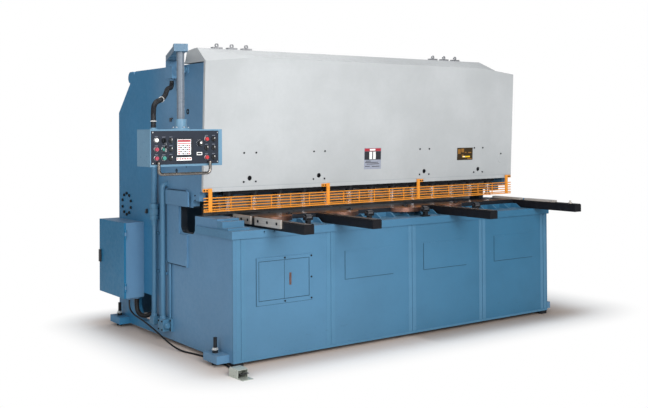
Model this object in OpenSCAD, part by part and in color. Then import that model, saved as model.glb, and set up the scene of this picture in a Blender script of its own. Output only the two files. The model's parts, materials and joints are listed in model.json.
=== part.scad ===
// Hydraulic swing beam shear for steel plate, with support arms, back gauge and control pendant.
// Millimetres. +X is the operator's right, +Y runs to the rear, +Z is up.
// Inside the modules Y = 0 is the face of the front apron and Z = 0 is the floor;
// place() moves the whole machine so that the origin is under the middle of its footprint.

/* [Frame] */
// Overall width over the side frames
frame_w = 2900; // [2400:10:3500]
// Depth of the side frames from the apron face
frame_d = 1760; // [1700:10:2120]
// Height of the side frames' top edge
side_top = 1930; // [1900:5:2300]
// Thickness of the side frames
side_t = 50; // [40:1:60]
// Gap between the frame and the floor
floor_gap = 25; // [15:1:30]

/* [Table and blades] */
// Height of the table's working face
table_h = 912; // [760:1:940]
// Distance from the apron face to the cutting line
cut_y = 500; // [490:1:510]
// Length of the blades
blade_len = 2540; // [2000:10:2540]
// Height of the upper blade
blade_h = 80; // [70:1:90]
// Opening over the table at the blade's low end
blade_open = 28; // [28:1:34]
// Slope of the upper blade in degrees
blade_rake = 1.2; // [0.8:0.1:1.4]

/* [Support arms] */
// Width of an arm's square tube
arm_w = 72; // [60:1:90]
// Height of an arm's square tube
arm_h = 55; // [45:1:62]
// Reach of the arms in front of the apron face
arm_reach = 430; // [300:5:600]

/* [Hold-downs] */
// Number of hold-down cylinders
hold_count = 13; // [7:1:15]
// Radius of a hold-down barrel
hold_r = 30; // [24:1:32]
// Radius of a hold-down plunger
plunger_r = 18; // [14:0.5:21]

/* [Cylinders and pivots] */
// Outer radius of the main cylinders
ram_barrel_r = 55; // [50:1:56]
// Radius of the main cylinders' rods
ram_rod_r = 28; // [22:1:30]
// Radius of the beam's pivot pins
pivot_r = 55; // [45:1:66]

/* [Finger guard] */
// Number of level rods in the guard
guard_rods = 5; // [4:1:6]
// Radius of the level rods
guard_rod_r = 4; // [3:0.5:5]

/* [Control pendant] */
// Width of the control box
box_w = 476; // [440:1:520]
// Height of the control box
box_h = 219; // [210:1:230]
// Radius of the hanging pipe
pipe_r = 23; // [20:1:27]

/* [Hidden] */
$fn = 48;

// Colours
blue = [0.36, 0.51, 0.65];
pale_blue = [0.48, 0.60, 0.72];
cover_grey = [0.79, 0.82, 0.83];
guard_orange = [1.0, 0.59, 0.16];
near_black = [0.08, 0.08, 0.09];
steel = [0.62, 0.62, 0.62];
chrome_grey = [0.8, 0.8, 0.82];
charcoal = [0.16, 0.17, 0.18];

// Clearances
seat_gap = 0.3;
run_gap = 0.05;

// Frame
half_w = frame_w / 2;
inner_x = half_w - side_t;
apron_t = 12;
ledge_z = table_h - 62;
rail_h = 50;
rail_proud = 12;
bed_y = cut_y - 30;
cover_z = table_h + 163;
cover_y = 385;
cover_lean = 2.6;
cover_ret = 24;
cover_side_h = side_top + 7 - cover_z;
cover_mid_h = side_top + 46 - cover_z;
lean_run = tan(cover_lean);
ridge_z = side_top + 105;

// Swing beam pivot
pivot_y = frame_d - 150;
pivot_z = table_h + 15;
edge_r = pivot_y - cut_y - 0.3;
seat_y = cut_y + 35;
beam_y = cut_y + 75;
beam_top = side_top - 150;
edge_mid = table_h + blade_open + blade_len / 2 * tan(blade_rake);

// Throat window through both side frames
throat_y0 = cut_y;
throat_y1 = cut_y + 210;
throat_z0 = table_h - 125;
jaw_z = table_h + 53;

// Front openings and fields
seams = [-0.961, -0.481, 0.015, 0.498, 0.969];
access_x0 = -half_w + 188;
access_w = 385;
access_z0 = ledge_z - 455;
access_h = 248;
panel_x = [-half_w + 874, -half_w + 1582, -half_w + 2301];
panel_w = 422;
panel_z0 = ledge_z - 380;
panel_h = 190;

// Support arms from left to right, and where each one ends at the rear
arm_x = [-half_w + 284.5, -half_w * 0.441, half_w * 0.283, half_w - 140];
arm_long = [true, false, false, true];
arm_top = ledge_z + arm_h;
fence_end = cut_y - 92;

// Hold-downs
hold_y = cut_y - 60;
hold_span = blade_len - 80;
hold_pitch = hold_span / (hold_count - 1);
barrel_z0 = table_h + 123;
barrel_z1 = table_h + 318;
foot_z0 = table_h + 25;
beam_strip_z = table_h + 138;

// Main cylinders
ram_x = inner_x - 110;
ram_y = cut_y - 60;
pad_z = side_top - 480;
ram_z0 = pad_z + 45;
ram_z1 = side_top - 130;

// Back gauge
rail_x = 900 * blade_len / 2540;
rail_z = table_h + 100;
screw_z = table_h + 73;
screw_r = 12.5;
gauge_y = cut_y + 200;
gauge_half = rail_x + 380;
rail_end = pivot_y - 110;

// Cabinet on the left side frame
cab_x = -half_w;
cab_y0 = frame_d - 451;
cab_y1 = frame_d + 13;
cab_z0 = 260;
cab_z1 = 810;
cab_d = 156;
door_t = 16;

// Pendant
hinge_x = -half_w - 50;
hinge_y = 740;
hinge_z = side_top + 31;
pole_x = -half_w - 356;
pole_y = 0;
arm_len = norm([pole_x - hinge_x, pole_y - hinge_y]);
arm_dir = atan2(pole_y - hinge_y, pole_x - hinge_x);
box_x0 = pole_x - box_w / 2;
box_y0 = -80;
box_y1 = 100;
box_z0 = 1271;
face_y = box_y0 - 3;

// Footprint, measured over everything but the cords, and the shift to its middle
foot_x = half_w + 90;
foot_front = 150;
foot_rear = frame_d - 110;
left_end = box_x0;
shift_x = -(left_end + foot_x) / 2;
shift_y = -(cab_y1 - arm_reach) / 2;

module place() translate([shift_x, shift_y, 0]) children();

// A profile drawn in Y and Z, extruded along +X from x0
module along_x(x0, t) translate([x0, 0, 0]) rotate([90, 0, 90]) linear_extrude(t) children();

// A profile drawn in X and Z, extruded along +Y from y0
module along_y(y0, t) translate([0, y0 + t, 0]) rotate([90, 0, 0]) linear_extrude(t) children();

// A box between two corners
module block(a, b) translate(a) cube(b - a);

// A bar along +X or +Y with its end at p
module bar_x(p, r, len) translate(p) rotate([0, 90, 0]) cylinder(r = r, h = len);
module bar_y(p, r, len) translate(p) rotate([-90, 0, 0]) cylinder(r = r, h = len);

module both_sides() {
    children();
    mirror([1, 0, 0]) children();
}

// A rectangle with two rounded lower corners
module round_foot(y0, y1, z0, z1, r) {
    translate([y0, z0 + r]) square([y1 - y0, z1 - z0 - r]);
    translate([y0 + r, z0]) square([y1 - y0 - 2 * r, r + 1]);
    translate([y0 + r, z0 + r]) circle(r);
    translate([y1 - r, z0 + r]) circle(r);
}

// ---------------------------------------------------------------- side frames

module side_outline() {
    difference() {
        union() {
            polygon([
                [apron_t, floor_gap], [frame_d, floor_gap], [frame_d, side_top - 307],
                [frame_d - 213, side_top - 90], [frame_d - 240, side_top],
                [cover_y + cover_ret + 0.5 - (side_top - cover_z) * lean_run, side_top],
                [cover_y + cover_ret + 0.5, cover_z], [cut_y - 60, cover_z],
                [cut_y - 60, table_h + 100], [cut_y + 28, table_h + 100],
                [cut_y + 28, jaw_z], [throat_y1, jaw_z], [throat_y1, throat_z0 + 45],
                [throat_y0, throat_z0 + 45], [throat_y0, table_h],
                [200, table_h], [200, ledge_z - apron_t], [apron_t, ledge_z - apron_t]
            ]);
            translate([frame_d - 222, side_top - 44]) circle(44);
        }
        round_foot(throat_y0, throat_y1, throat_z0, throat_z0 + 60, 44);
        round_foot(frame_d - 580, frame_d - 310, 83, 290, 100);
        translate([frame_d - 290, side_top]) rotate(45) square(34, center = true);
    }
}

// Doubler round the throat, with a rounded upper rear corner
module throat_outline() {
    difference() {
        union() {
            translate([600, table_h - 356]) square([352, 483]);
            translate([600, table_h - 356]) square([312, 523]);
            translate([912, table_h + 127]) circle(40);
        }
        translate([0, throat_z0 - 12]) square([throat_y1 + 10, jaw_z - throat_z0 + 12]);
    }
}

module side_frame() {
    difference() {
        union() {
            along_x(-half_w, side_t) side_outline();
            along_x(-half_w - 12, 12.5) throat_outline();
            along_x(-half_w - 24, 12.5) translate([560, jaw_z + 5]) square([340, 100]);
            // foot plates
            for (y = [foot_front, foot_rear])
                block([-foot_x, y - 100, floor_gap], [-half_w + 1, y + 75, floor_gap + 50]);
            // shelf that holds the main cylinder down
            block([-inner_x - 1, ram_y - 55, ram_z0 + 25.3], [-ram_x + 75, ram_y + 60, ram_z0 + 65]);
            // boss for the lifting eye
            bar_x([-half_w - 6, 611, side_top - 36], 34, 7);
        }
        for (y = [foot_front, foot_rear])
            translate([-half_w - 45, y, 0]) cylinder(r = 13, h = 200);
        translate([-ram_x, ram_y, ram_z0]) cylinder(r = ram_barrel_r + seat_gap, h = 100);
        for (a = [18 : 36 : 342])
            bar_x([-half_w - 5, pivot_y + 80 * cos(a), pivot_z + 80 * sin(a)], 9, side_t + 10);
        bar_x([-half_w - 20, 611, side_top - 36], 12, 40);
        bar_x([-half_w - 5, 598, side_top - 319], 16, 30);
        bar_x([-half_w - 5, 770, table_h + 294], 7, 30);
        bar_x([-half_w - 5, 627, table_h + 324], 7, 30);
    }
}

module side_frame_left() color(blue) place() side_frame();
module side_frame_right() color(blue) place() mirror([1, 0, 0]) side_frame();

// ---------------------------------------------------------------- bed and table

module end_steps(x0, x1) {
    block([x0, 60, ledge_z - 1], [x1, 135, ledge_z + 11]);
    block([x0, 130, ledge_z - 1], [x1, 200, ledge_z + 50]);
}

module bed_frame() color(blue) place() {
    arm_in = arm_w / 2 + 4;
    end_x = -half_w + 160;
    difference() {
        union() {
            block([-half_w, 0, floor_gap], [half_w, apron_t, ledge_z]);
            block([-half_w, 0, ledge_z - apron_t], [half_w, 200, ledge_z]);
            // rail along the front and both ends
            block([-half_w - rail_proud, -rail_proud, ledge_z - rail_h],
                  [half_w + rail_proud, 1, ledge_z]);
            both_sides()
                block([-half_w - rail_proud, 0, ledge_z - rail_h], [-half_w, 480, ledge_z]);
            // raised rim round the access doors
            block([access_x0 - 18, -4, access_z0 - 30],
                  [access_x0 + access_w + 27, 1, access_z0 + access_h + 25]);
            // wall under the table, rear plate that carries the lower blade, and webs between them
            block([-inner_x, 199, ledge_z - 250], [inner_x, 212, table_h - 30]);
            block([-inner_x, bed_y - 40, 300], [inner_x, bed_y, table_h - 30]);
            for (k = [1, 2, 3])
                block([seams[k] * half_w - 6, apron_t - 1, 100],
                      [seams[k] * half_w + 6, bed_y - 39, ledge_z - 1]);
            // end blocks level with the table, stepping down to the ledge
            block([-inner_x, 199, ledge_z - 60], [end_x, bed_y, table_h]);
            block([end_x - 1, 199, ledge_z - 60], [arm_x[0] - arm_in, bed_y - 39, ledge_z]);
            block([arm_x[3] + arm_in, 199, ledge_z - 60], [inner_x, bed_y, table_h]);
            end_steps(-half_w, end_x);
            end_steps(arm_x[3] + arm_in, half_w);
            // gussets in the pockets between the arms
            for (k = [0, 1, 2]) {
                x0 = arm_x[k] + arm_in + 10;
                x1 = arm_x[k + 1] - arm_in - 10;
                count = floor((x1 - x0) / 120);
                for (i = [0 : count])
                    along_x(x0 + (x1 - x0 - 10) * i / count, 10)
                        polygon([
                            [95, ledge_z - 1], [201, ledge_z - 1],
                            [201, table_h - 30], [150, table_h - 30]
                        ]);
            }
        }
        // ways through for the long arms and for the rear squaring plate
        for (k = [0 : 3])
            block([arm_x[k] - arm_w / 2 - seat_gap, 190, ledge_z],
                  [arm_x[k] + arm_w / 2 + seat_gap, arm_long[k] ? bed_y + 1 : 200, table_h + 1]);
        block([end_x, 190, ledge_z], [arm_x[0] - arm_w / 2 + 1, bed_y - 40, table_h + 1]);
        block([access_x0, -10, access_z0], [access_x0 + access_w, 40, access_z0 + access_h]);
        for (s = seams)
            block([s * half_w - 1.5, -1, floor_gap - 1], [s * half_w + 1.5, 2, ledge_z - rail_h]);
        for (x = [access_x0 + 37, access_x0 + 112])
            bar_y([x, -20, ledge_z - 15], 6, 30);
    }
}

module front_covers() color(blue) place() {
    door = access_w / 2 - 0.45;
    for (x = [access_x0 + seat_gap, access_x0 + access_w / 2 + 0.15])
        block([x, -3, access_z0 + seat_gap], [x + door, 9, access_z0 + access_h - seat_gap]);
    for (x = panel_x)
        block([x, -2, panel_z0], [x + panel_w, 0, panel_z0 + panel_h]);
}

// Ground table with rounded tongues that reach over the pockets
module table_plate() color(steel) place() {
    x0 = arm_x[0] + arm_w / 2 + 2;
    x1 = arm_x[3] - arm_w / 2 - 2;
    tongues = [arm_x[0] + 138, arm_x[1] + 172, arm_x[2] - 282, arm_x[2] + 124];
    translate([0, 0, table_h - 30]) linear_extrude(30) difference() {
        union() {
            translate([x0, 200]) square([x1 - x0, bed_y - 200]);
            intersection() {
                union() for (x = tongues) translate([x, 235]) circle(150);
                translate([x0, 60]) square([x1 - x0, 200]);
            }
        }
        for (k = [1, 2])
            translate([arm_x[k] - arm_w / 2 - seat_gap, 50]) square([arm_w + 2 * seat_gap, 150 + seat_gap]);
    }
}

module lower_blade() color(steel) place() {
    section = blade_len / 4;
    for (i = [0 : 3]) {
        x = -blade_len / 2 + section * i;
        block([x + 0.1, bed_y, table_h - 80], [x + section - 0.1, cut_y, table_h]);
    }
}

// ---------------------------------------------------------------- front cover and roof

module cover_outline(inset) {
    w = half_w - inset;
    x_left = -half_w + 388;
    x_right = half_w - 352;
    polygon([
        [-w, inset], [w, inset], [w, cover_side_h - inset], [x_right, cover_mid_h - inset],
        [x_left, cover_mid_h - inset], [-w, cover_side_h - inset]
    ]);
}

module beam_cover() color(cover_grey) place()
    translate([0, cover_y, cover_z]) rotate([cover_lean, 0, 0]) difference() {
        along_y(0, cover_ret) cover_outline(0);
        along_y(4, cover_ret) cover_outline(4);
        // seam over the lower strip
        block([-half_w + 8, -1, 44], [half_w - 8, 1.5, 47]);
        for (k = [-0.756, -0.359, 0.332, 0.734]) {
            bar_y([k * half_w, -5, 82], 17, 20);
            for (dx = [-48, 48]) {
                bar_y([k * half_w + dx, -5, 58], 5, 20);
                bar_y([k * half_w + dx, -5, 255], 5, 20);
            }
        }
        bar_y([half_w - 127, -5, 203], 5, 20);
    }

// Folded roof over the beam, hipped at its right end, with a sheet over the front of its left end
module top_cap() color(cover_grey) place() {
    front_y = cover_y + 0.5 - cover_mid_h * lean_run;
    z_side = cover_z + cover_side_h + 0.5;
    z_mid = cover_z + cover_mid_h + 0.5;
    z_rear = ridge_z - 12;
    left = -half_w + 8;
    right = half_w - 222;
    difference() {
        union() {
            hull() {
                translate([left, front_y, z_side]) cube([1, 2, 1]);
                translate([-half_w + 388, front_y, z_mid]) cube([1, 2, 1]);
                translate([right - 131, front_y, z_mid]) cube([1, 2, 1]);
                translate([right, front_y, z_mid - 14]) cube([1, 2, 1]);
                translate([left, 470, ridge_z - 1]) cube([1, 46, 1]);
                translate([right - 54, 470, ridge_z - 1]) cube([1, 46, 1]);
                translate([left, 620, z_rear - 1]) cube([1, 2, 1]);
                translate([right - 30, 620, z_rear - 1]) cube([1, 2, 1]);
                translate([left, 655, z_side]) cube([1, 2, 1]);
                translate([right, 655, z_side]) cube([1, 2, 1]);
            }
            along_x(-half_w, 9) polygon([
                [front_y, z_side], [front_y, z_side + 3], [462, ridge_z], [472, ridge_z],
                [656, z_side + 4], [656, z_side]
            ]);
        }
        translate([0, cover_y, cover_z]) rotate([cover_lean, 0, 0])
            along_y(-5, cover_ret + 5 + seat_gap) cover_outline(-seat_gap);
        along_x(left + 5, right - left - 80) polygon([
            [front_y + 12, z_side - 5], [front_y + 12, z_side + 3], [474, ridge_z - 5],
            [512, ridge_z - 5], [612, z_rear - 6], [644, z_side + 3], [644, z_side - 5]
        ]);
    }
}

module top_fittings() color(chrome_grey) place()
    for (x = [-half_w + 165, -half_w + 282, -half_w + 397, half_w - 770, half_w - 650, half_w - 529])
        translate([x, 493, ridge_z]) {
            block([-37, -17, 0], [37, 17, 12]);
            difference() {
                bar_y([0, -5, 24], 14, 10);
                bar_y([0, -6, 24], 7, 12);
            }
        }

// ---------------------------------------------------------------- hold-downs and finger guard

module at_hold_downs() for (i = [0 : hold_count - 1])
    translate([-hold_span / 2 + hold_pitch * i, hold_y, 0]) children();

module hold_down_beam() color(near_black) place() difference() {
    union() {
        block([-inner_x, hold_y - 40, cover_z + 15], [inner_x, hold_y + 40, cover_z + 125]);
        block([-blade_len / 2 - 15, hold_y - 28, beam_strip_z],
              [blade_len / 2 + 5, hold_y + 35, cover_z + 16]);
    }
    at_hold_downs() translate([0, 0, barrel_z0 - 10]) cylinder(r = hold_r + seat_gap, h = 300);
}

module hold_down_cylinders() color(near_black) place() at_hold_downs() difference() {
    union() {
        translate([0, 0, barrel_z0]) cylinder(r = hold_r, h = barrel_z1 - barrel_z0);
        translate([0, 0, cover_z + 125]) cylinder(r = hold_r + 6, h = 12);
    }
    translate([0, 0, barrel_z0 - 1]) cylinder(r = plunger_r + run_gap, h = barrel_z1 - barrel_z0 - 19);
}

module hold_down_plungers() color(chrome_grey) place() at_hold_downs() {
    translate([0, 0, foot_z0]) cylinder(r = 26, h = 15);
    translate([0, 0, foot_z0 + 14]) cylinder(r = plunger_r, h = barrel_z1 - foot_z0 - 94);
}

module finger_guard() color(guard_orange) place() {
    rod_y = 379;
    rod_pitch = 19;
    z0 = table_h + 41;
    posts = [-half_w + 47, -half_w + 1005, half_w - 1035, half_w - 63];
    tab_side = [-1, -1, 1, 1];
    for (i = [0 : guard_rods - 1])
        bar_x([-half_w, rod_y, z0 + 6 + rod_pitch * i], guard_rod_r, frame_w - 10);
    block([-half_w, rod_y - 3, z0 - 10], [half_w - 10, rod_y + 3, z0 - 2]);
    for (k = [0 : 3]) {
        x = posts[k];
        block([x - 13, 371, z0 - 10], [x + 13, 380, cover_z + 24]);
        block([x + min(0, tab_side[k] * 53), 376, cover_z + 1],
              [x + max(0, tab_side[k] * 53), 383.7, cover_z + 22]);
    }
    for (k = [0 : 2]) {
        bay = (posts[k + 1] - posts[k]) / 6;
        for (i = [1 : 5])
            block([posts[k] + bay * i - 2.5, rod_y - 1, z0 - 6],
                  [posts[k] + bay * i + 2.5, rod_y + 5, z0 + 8 + rod_pitch * (guard_rods - 1)]);
    }
}

// ---------------------------------------------------------------- support arms

module support_arms() color(near_black) place() for (k = [0 : 3]) {
    end = arm_long[k] ? bed_y : 200;
    x = arm_x[k] - arm_w / 2;
    difference() {
        union() {
            block([x, -arm_reach, ledge_z], [x + arm_w, end, arm_top]);
            // machined top strip
            block([x + 8, -arm_reach, arm_top - 1], [x + arm_w - 8, end, table_h - 2]);
        }
        block([x + 5, -arm_reach + 6, ledge_z + 5], [x + arm_w - 5, end + 1, arm_top - 6]);
        translate([arm_x[k], 60 - arm_reach, table_h - 20]) cylinder(r = 7, h = 30);
    }
}

// Squaring fence plates on the left arm, and raised blocks with an end stop on the right arm
module arm_fences() color(steel) place() {
    left = arm_x[0] - arm_w / 2;
    for (y = [[182, fence_end], [-182, 129]])
        difference() {
            block([left - 12, y[0], table_h - 46], [left, y[1], table_h + 8]);
            for (k = [0.14, 0.5, 0.86])
                bar_x([left - 20, y[0] + (y[1] - y[0]) * k, table_h - 18], 7, 30);
        }
    for (y = [[142, 441], [-209, 89]])
        block([arm_x[3] - 22, y[0], table_h - 2], [arm_x[3] + 22, y[1], table_h + 13]);
    translate([arm_x[3], -356, table_h - 2]) {
        cylinder(r = 14, h = 8);
        cylinder(r = 7, h = 22);
    }
}

// Sheet support rollers, tall on the ledge and low in the table
module ball_units() color(near_black) place()
    for (i = [0 : 3]) {
        x = -half_w + 587 + 517 * i;
        difference() {
            union() {
                block([x - 32, 4, ledge_z], [x + 32, 44, ledge_z + 10]);
                block([x - 14, 10, ledge_z + 9], [x + 14, 38, ledge_z + 36]);
                block([x - 30, 8, ledge_z + 34], [x + 30, 40, ledge_z + 62]);
            }
            block([x - 22, 0, ledge_z + 40], [x + 22, 60, ledge_z + 63]);
        }
        bar_x([x - 21.7, 24, ledge_z + 57], 16, 43.4);
        translate([x, 250, table_h]) {
            cylinder(r = 22, h = 5);
            translate([0, 0, 4]) intersection() {
                sphere(r = 10);
                cylinder(r = 11, h = 11);
            }
        }
    }

// ---------------------------------------------------------------- pivots, cylinders and beam

module pivot_pins() color(steel) place() both_sides() {
    bar_x([-inner_x, pivot_y, pivot_z], 100, 25);
    bar_x([-inner_x + 24, pivot_y, pivot_z], pivot_r, 96);
    for (a = [18 : 36 : 342])
        difference() {
            bar_x([-half_w + 1, pivot_y + 80 * cos(a), pivot_z + 80 * sin(a)], 8.8, side_t - 1);
            bar_x([-half_w, pivot_y + 80 * cos(a), pivot_z + 80 * sin(a)], 4, 8);
        }
}

module beam_arm() {
    difference() {
        union() {
            along_x(-inner_x + 50, 40) polygon([
                [beam_y, table_h + 148], [beam_y + 165, table_h + 148], [pivot_y - 130, pivot_z - 70],
                [pivot_y - 50, pivot_z - 103], [pivot_y + 50, pivot_z + 103],
                [beam_y + 325, beam_top], [beam_y, beam_top]
            ]);
            bar_x([-inner_x + 30, pivot_y, pivot_z], pivot_r + 60, 80);
        }
        bar_x([-inner_x, pivot_y, pivot_z], pivot_r + run_gap, 200);
        bar_x([-inner_x, pivot_y - 420, pivot_z + 250], 80, 200);
    }
    // bracket that the ram presses on
    block([-ram_x - 55, ram_y - 18, pad_z - 30], [-ram_x + 55, beam_y + 12, pad_z]);
    along_x(-ram_x - 12, 24) polygon([
        [beam_y + 5, pad_z - 120], [beam_y + 5, pad_z - 29], [ram_y - 10, pad_z - 29]
    ]);
}

module swing_beam() color(blue) place() {
    skin = inner_x - 70;
    block([-skin, beam_y, table_h + 128], [skin, beam_y + 30, beam_top]);
    block([-skin, beam_y, beam_top - 25], [skin, beam_y + 125, beam_top]);
    // raked seat of the upper blade
    translate([0, seat_y, edge_mid + 22]) rotate([0, -blade_rake, 0])
        translate([-blade_len / 2, 0, 0]) cube([blade_len, beam_y + 20 - seat_y, 80]);
    for (k = [-2 : 2])
        along_x(325 * k * blade_len / 2540 - 8, 16) polygon([
            [beam_y + 29, table_h + 128], [beam_y + 29, beam_top - 1], [beam_y + 124, beam_top - 1],
            [beam_y + 245, table_h + 488], [beam_y + 125, table_h + 128]
        ]);
    // torsion tube between the arms
    bar_x([-inner_x + 55, beam_y + 325, table_h + 338], 90, 2 * inner_x - 110);
    both_sides() beam_arm();
}

// Depth of the blade's front face at height z, on the arc that just clears the lower blade
function face_depth(z) = pivot_y - sqrt(edge_r * edge_r - (z - pivot_z) * (z - pivot_z));

module blade_section(x0, x1) {
    z0 = edge_mid + x0 * tan(blade_rake);
    z1 = edge_mid + x1 * tan(blade_rake);
    polyhedron(
        points = [
            [x0, face_depth(z0), z0], [x1, face_depth(z1), z1], [x1, seat_y, z1], [x0, seat_y, z0],
            [x0, face_depth(z0 + blade_h), z0 + blade_h], [x1, face_depth(z1 + blade_h), z1 + blade_h],
            [x1, seat_y, z1 + blade_h], [x0, seat_y, z0 + blade_h]
        ],
        faces = [[0, 1, 2, 3], [7, 6, 5, 4], [0, 4, 5, 1], [1, 5, 6, 2], [2, 6, 7, 3], [3, 7, 4, 0]]
    );
}

module upper_blade() color(steel) place() {
    section = blade_len / 4;
    for (i = [0 : 3]) {
        x = -blade_len / 2 + section * i;
        blade_section(x + 0.1, x + section - 0.1);
    }
}

module main_cylinders() color(near_black) place() both_sides() translate([-ram_x, ram_y, 0]) difference() {
    union() {
        translate([0, 0, ram_z0]) cylinder(r = ram_barrel_r, h = ram_z1 - ram_z0);
        block([-75, -55, ram_z0], [75, 55, ram_z0 + 25]);
    }
    translate([0, 0, ram_z0 - 1]) cylinder(r = ram_rod_r + run_gap, h = 50);
    translate([0, 0, ram_z0 + 15]) cylinder(r = 45 + run_gap, h = ram_z1 - ram_z0 - 30);
}

module main_rams() color(chrome_grey) place() both_sides() translate([-ram_x, ram_y, 0]) {
    translate([0, 0, pad_z + 1 + ram_rod_r]) sphere(r = ram_rod_r);
    translate([0, 0, pad_z + 1 + ram_rod_r]) cylinder(r = ram_rod_r, h = ram_z1 - 130 - pad_z);
    translate([0, 0, ram_z1 - 140]) cylinder(r = 45, h = 40);
}

// ---------------------------------------------------------------- back gauge

module at_rails() for (x = [-rail_x, rail_x]) translate([x, 0, 0]) children();

module gauge_rails() color(steel) place() at_rails() difference() {
    union() {
        block([-30, beam_y + 30, rail_z], [30, rail_end, rail_z + 60]);
        block([-30, beam_y + 35, screw_z - 30], [30, beam_y + 65, rail_z + 1]);
        block([-30, rail_end - 20, screw_z - 30], [30, rail_end, rail_z + 1]);
        // servo drive behind the rear bearing
        block([-40, rail_end - 1, screw_z - 45], [40, rail_end + 90, screw_z + 45]);
    }
    bar_y([0, beam_y, screw_z], screw_r + run_gap, rail_end - beam_y + 20);
}

module gauge_screw(x) bar_y([x, beam_y + 36, screw_z], screw_r, rail_end - beam_y - 20);
module gauge_screw_left() color(chrome_grey) place() gauge_screw(-rail_x);
module gauge_screw_right() color(chrome_grey) place() gauge_screw(rail_x);

module gauge_bar() color(steel) place() difference() {
    union() {
        block([-gauge_half, gauge_y, table_h - 42], [gauge_half, gauge_y + 25, table_h + 50]);
        at_rails() block([-30, gauge_y, table_h + 40], [30, gauge_y + 60, rail_z - seat_gap]);
    }
    at_rails() bar_y([0, gauge_y - 5, screw_z], screw_r + run_gap, 90);
}

// ---------------------------------------------------------------- rear structure and hydraulics

module rear_crossbeams() color(blue) place() {
    lower = [frame_d - 170, 80, frame_d - 70, 240];
    upper = [frame_d - 510, side_top - 230, frame_d - 360, side_top - 80];
    for (a = [lower, upper])
        difference() {
            block([-inner_x, a[0], a[1]], [inner_x, a[2], a[3]]);
            block([-inner_x - 1, a[0] + 12, a[1] + 12], [inner_x + 1, a[2] - 12, a[3] - 12]);
        }
    // guard plate across the rear
    block([-inner_x, frame_d - 22, 560], [inner_x, frame_d - 16, 1105]);
}

module sheet_chute() color(steel) place()
    along_x(-blade_len / 2, blade_len) polygon([
        [bed_y, table_h - 152], [bed_y, table_h - 112], [bed_y + 6, table_h - 112],
        [frame_d - 455, 404], [frame_d - 425, 404], [frame_d - 425, 398], [frame_d - 457, 398],
        [bed_y + 6, table_h - 119], [bed_y + 6, table_h - 152]
    ]);

module oil_tank() color(blue) place() difference() {
    union() {
        block([-inner_x, 650, 60], [-inner_x + 840, 1150, 330]);
        bar_y([-inner_x + 50, 1149, 205], 24, 16);
    }
    block([-inner_x + 5, 655, 65], [-inner_x + 835, 1145, 325]);
    translate([-inner_x + 145, 775, 320]) cylinder(r = 30, h = 20);
}

module pump_motor() color(blue) place() {
    block([-inner_x + 380, 780, 330], [-inner_x + 680, 940, 345]);
    block([-inner_x + 440, 830, 344], [-inner_x + 620, 890, 380]);
    bar_x([-inner_x + 380, 860, 430], 88, 290);
    bar_x([-inner_x + 310, 860, 430], 46, 71);
    bar_x([-inner_x + 669, 860, 430], 70, 20);
}

module valve_block() color(steel) place() {
    block([-inner_x + 70, 700, 330], [-inner_x + 220, 850, 410]);
    for (x = [105, 145, 185])
        bar_y([-inner_x + x, 640, 375], 16, 61);
}

// Oil pipes on the left side frame, one with a union, and the manifold at their feet
module side_pipes() color(blue) place() {
    x = -half_w - 30;
    for (p = [[1034, 26, table_h + 50, table_h + 328], [920, 17, 180, table_h + 190]]) {
        translate([x, p[0], p[2]]) cylinder(r = p[1], h = p[3] - p[2]);
        translate([x, p[0], p[3]]) sphere(r = p[1]);
        bar_x([x, p[0], p[3]], p[1], -half_w - x);
    }
    translate([x, 1044, table_h - 72]) rotate(30) cylinder(r = 29, h = 128, $fn = 6);
    translate([x, 1052, 150]) cylinder(r = 17, h = table_h - 215);
    block([x - 25, 1022, 110], [-half_w, 1080, 165]);
    block([x - 40, 708, 75], [-half_w, 940, 185]);
}

// ---------------------------------------------------------------- electrical cabinet

module cabinet_body() color(blue) place() difference() {
    union() {
        block([cab_x - cab_d + door_t, cab_y0, cab_z0], [cab_x, cab_y1, cab_z1]);
        for (z = [cab_z0 + 50, cab_z1 - 110])
            translate([cab_x - cab_d + 8, cab_y0 - 8, z]) {
                cylinder(r = 3.9, h = 60);
                translate([0, 0, 19]) cylinder(r = 7, h = 22);
                block([0, 2, 19], [door_t - 2, 9, 41]);
            }
        // glands of the foot switch cable and of the hose
        translate([foot_route[0][0], foot_route[0][1], foot_route[0][2]]) cylinder(r = 11, h = 13);
        translate([hose_route[0][0], hose_route[0][1], hose_route[0][2]]) cylinder(r = 24, h = 13);
    }
    block([cab_x - cab_d, cab_y0 + 3, cab_z0 + 3], [cab_x - 3, cab_y1 - 3, cab_z1 - 3]);
}

module control_gear() color(steel) place() {
    block([cab_x - 7, cab_y0 + 40, cab_z0 + 60], [cab_x - 3, cab_y1 - 40, cab_z1 - 40]);
    for (z = [cab_z0 + 110, cab_z0 + 250, cab_z0 + 390])
        for (i = [0 : 4])
            block([cab_x - 82, cab_y0 + 60 + 68 * i, z], [cab_x - 6, cab_y0 + 120 + 68 * i, z + 85]);
}

module cabinet_door() color(blue) place() {
    x0 = cab_x - cab_d;
    difference() {
        block([x0, cab_y0 + 1, cab_z0], [x0 + door_t - seat_gap, cab_y1, cab_z1]);
        block([x0 + 2, cab_y0 + 14, cab_z0 + 12], [x0 + door_t, cab_y1 - 12, cab_z1 - 12]);
        bar_x([x0 - 5, cab_y1 - 28, cab_z0 + 272], 8.3, 20);
        for (z = [cab_z0 + 50, cab_z1 - 110])
            block([x0 - 1, cab_y0 - 1, z + 15], [x0 + door_t, cab_y0 + 3, z + 45]);
    }
    for (z = [cab_z0 + 50, cab_z1 - 110])
        for (dz = [0, 42])
            difference() {
                union() {
                    translate([x0 + 8, cab_y0 - 8, z + dz]) cylinder(r = 7, h = 18);
                    block([x0 + 4, cab_y0 - 8, z + dz], [x0 + 8, cab_y0 + 2, z + dz + 18]);
                }
                translate([x0 + 8, cab_y0 - 8, z + dz - 1]) cylinder(r = 3.95, h = 20);
            }
}

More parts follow.
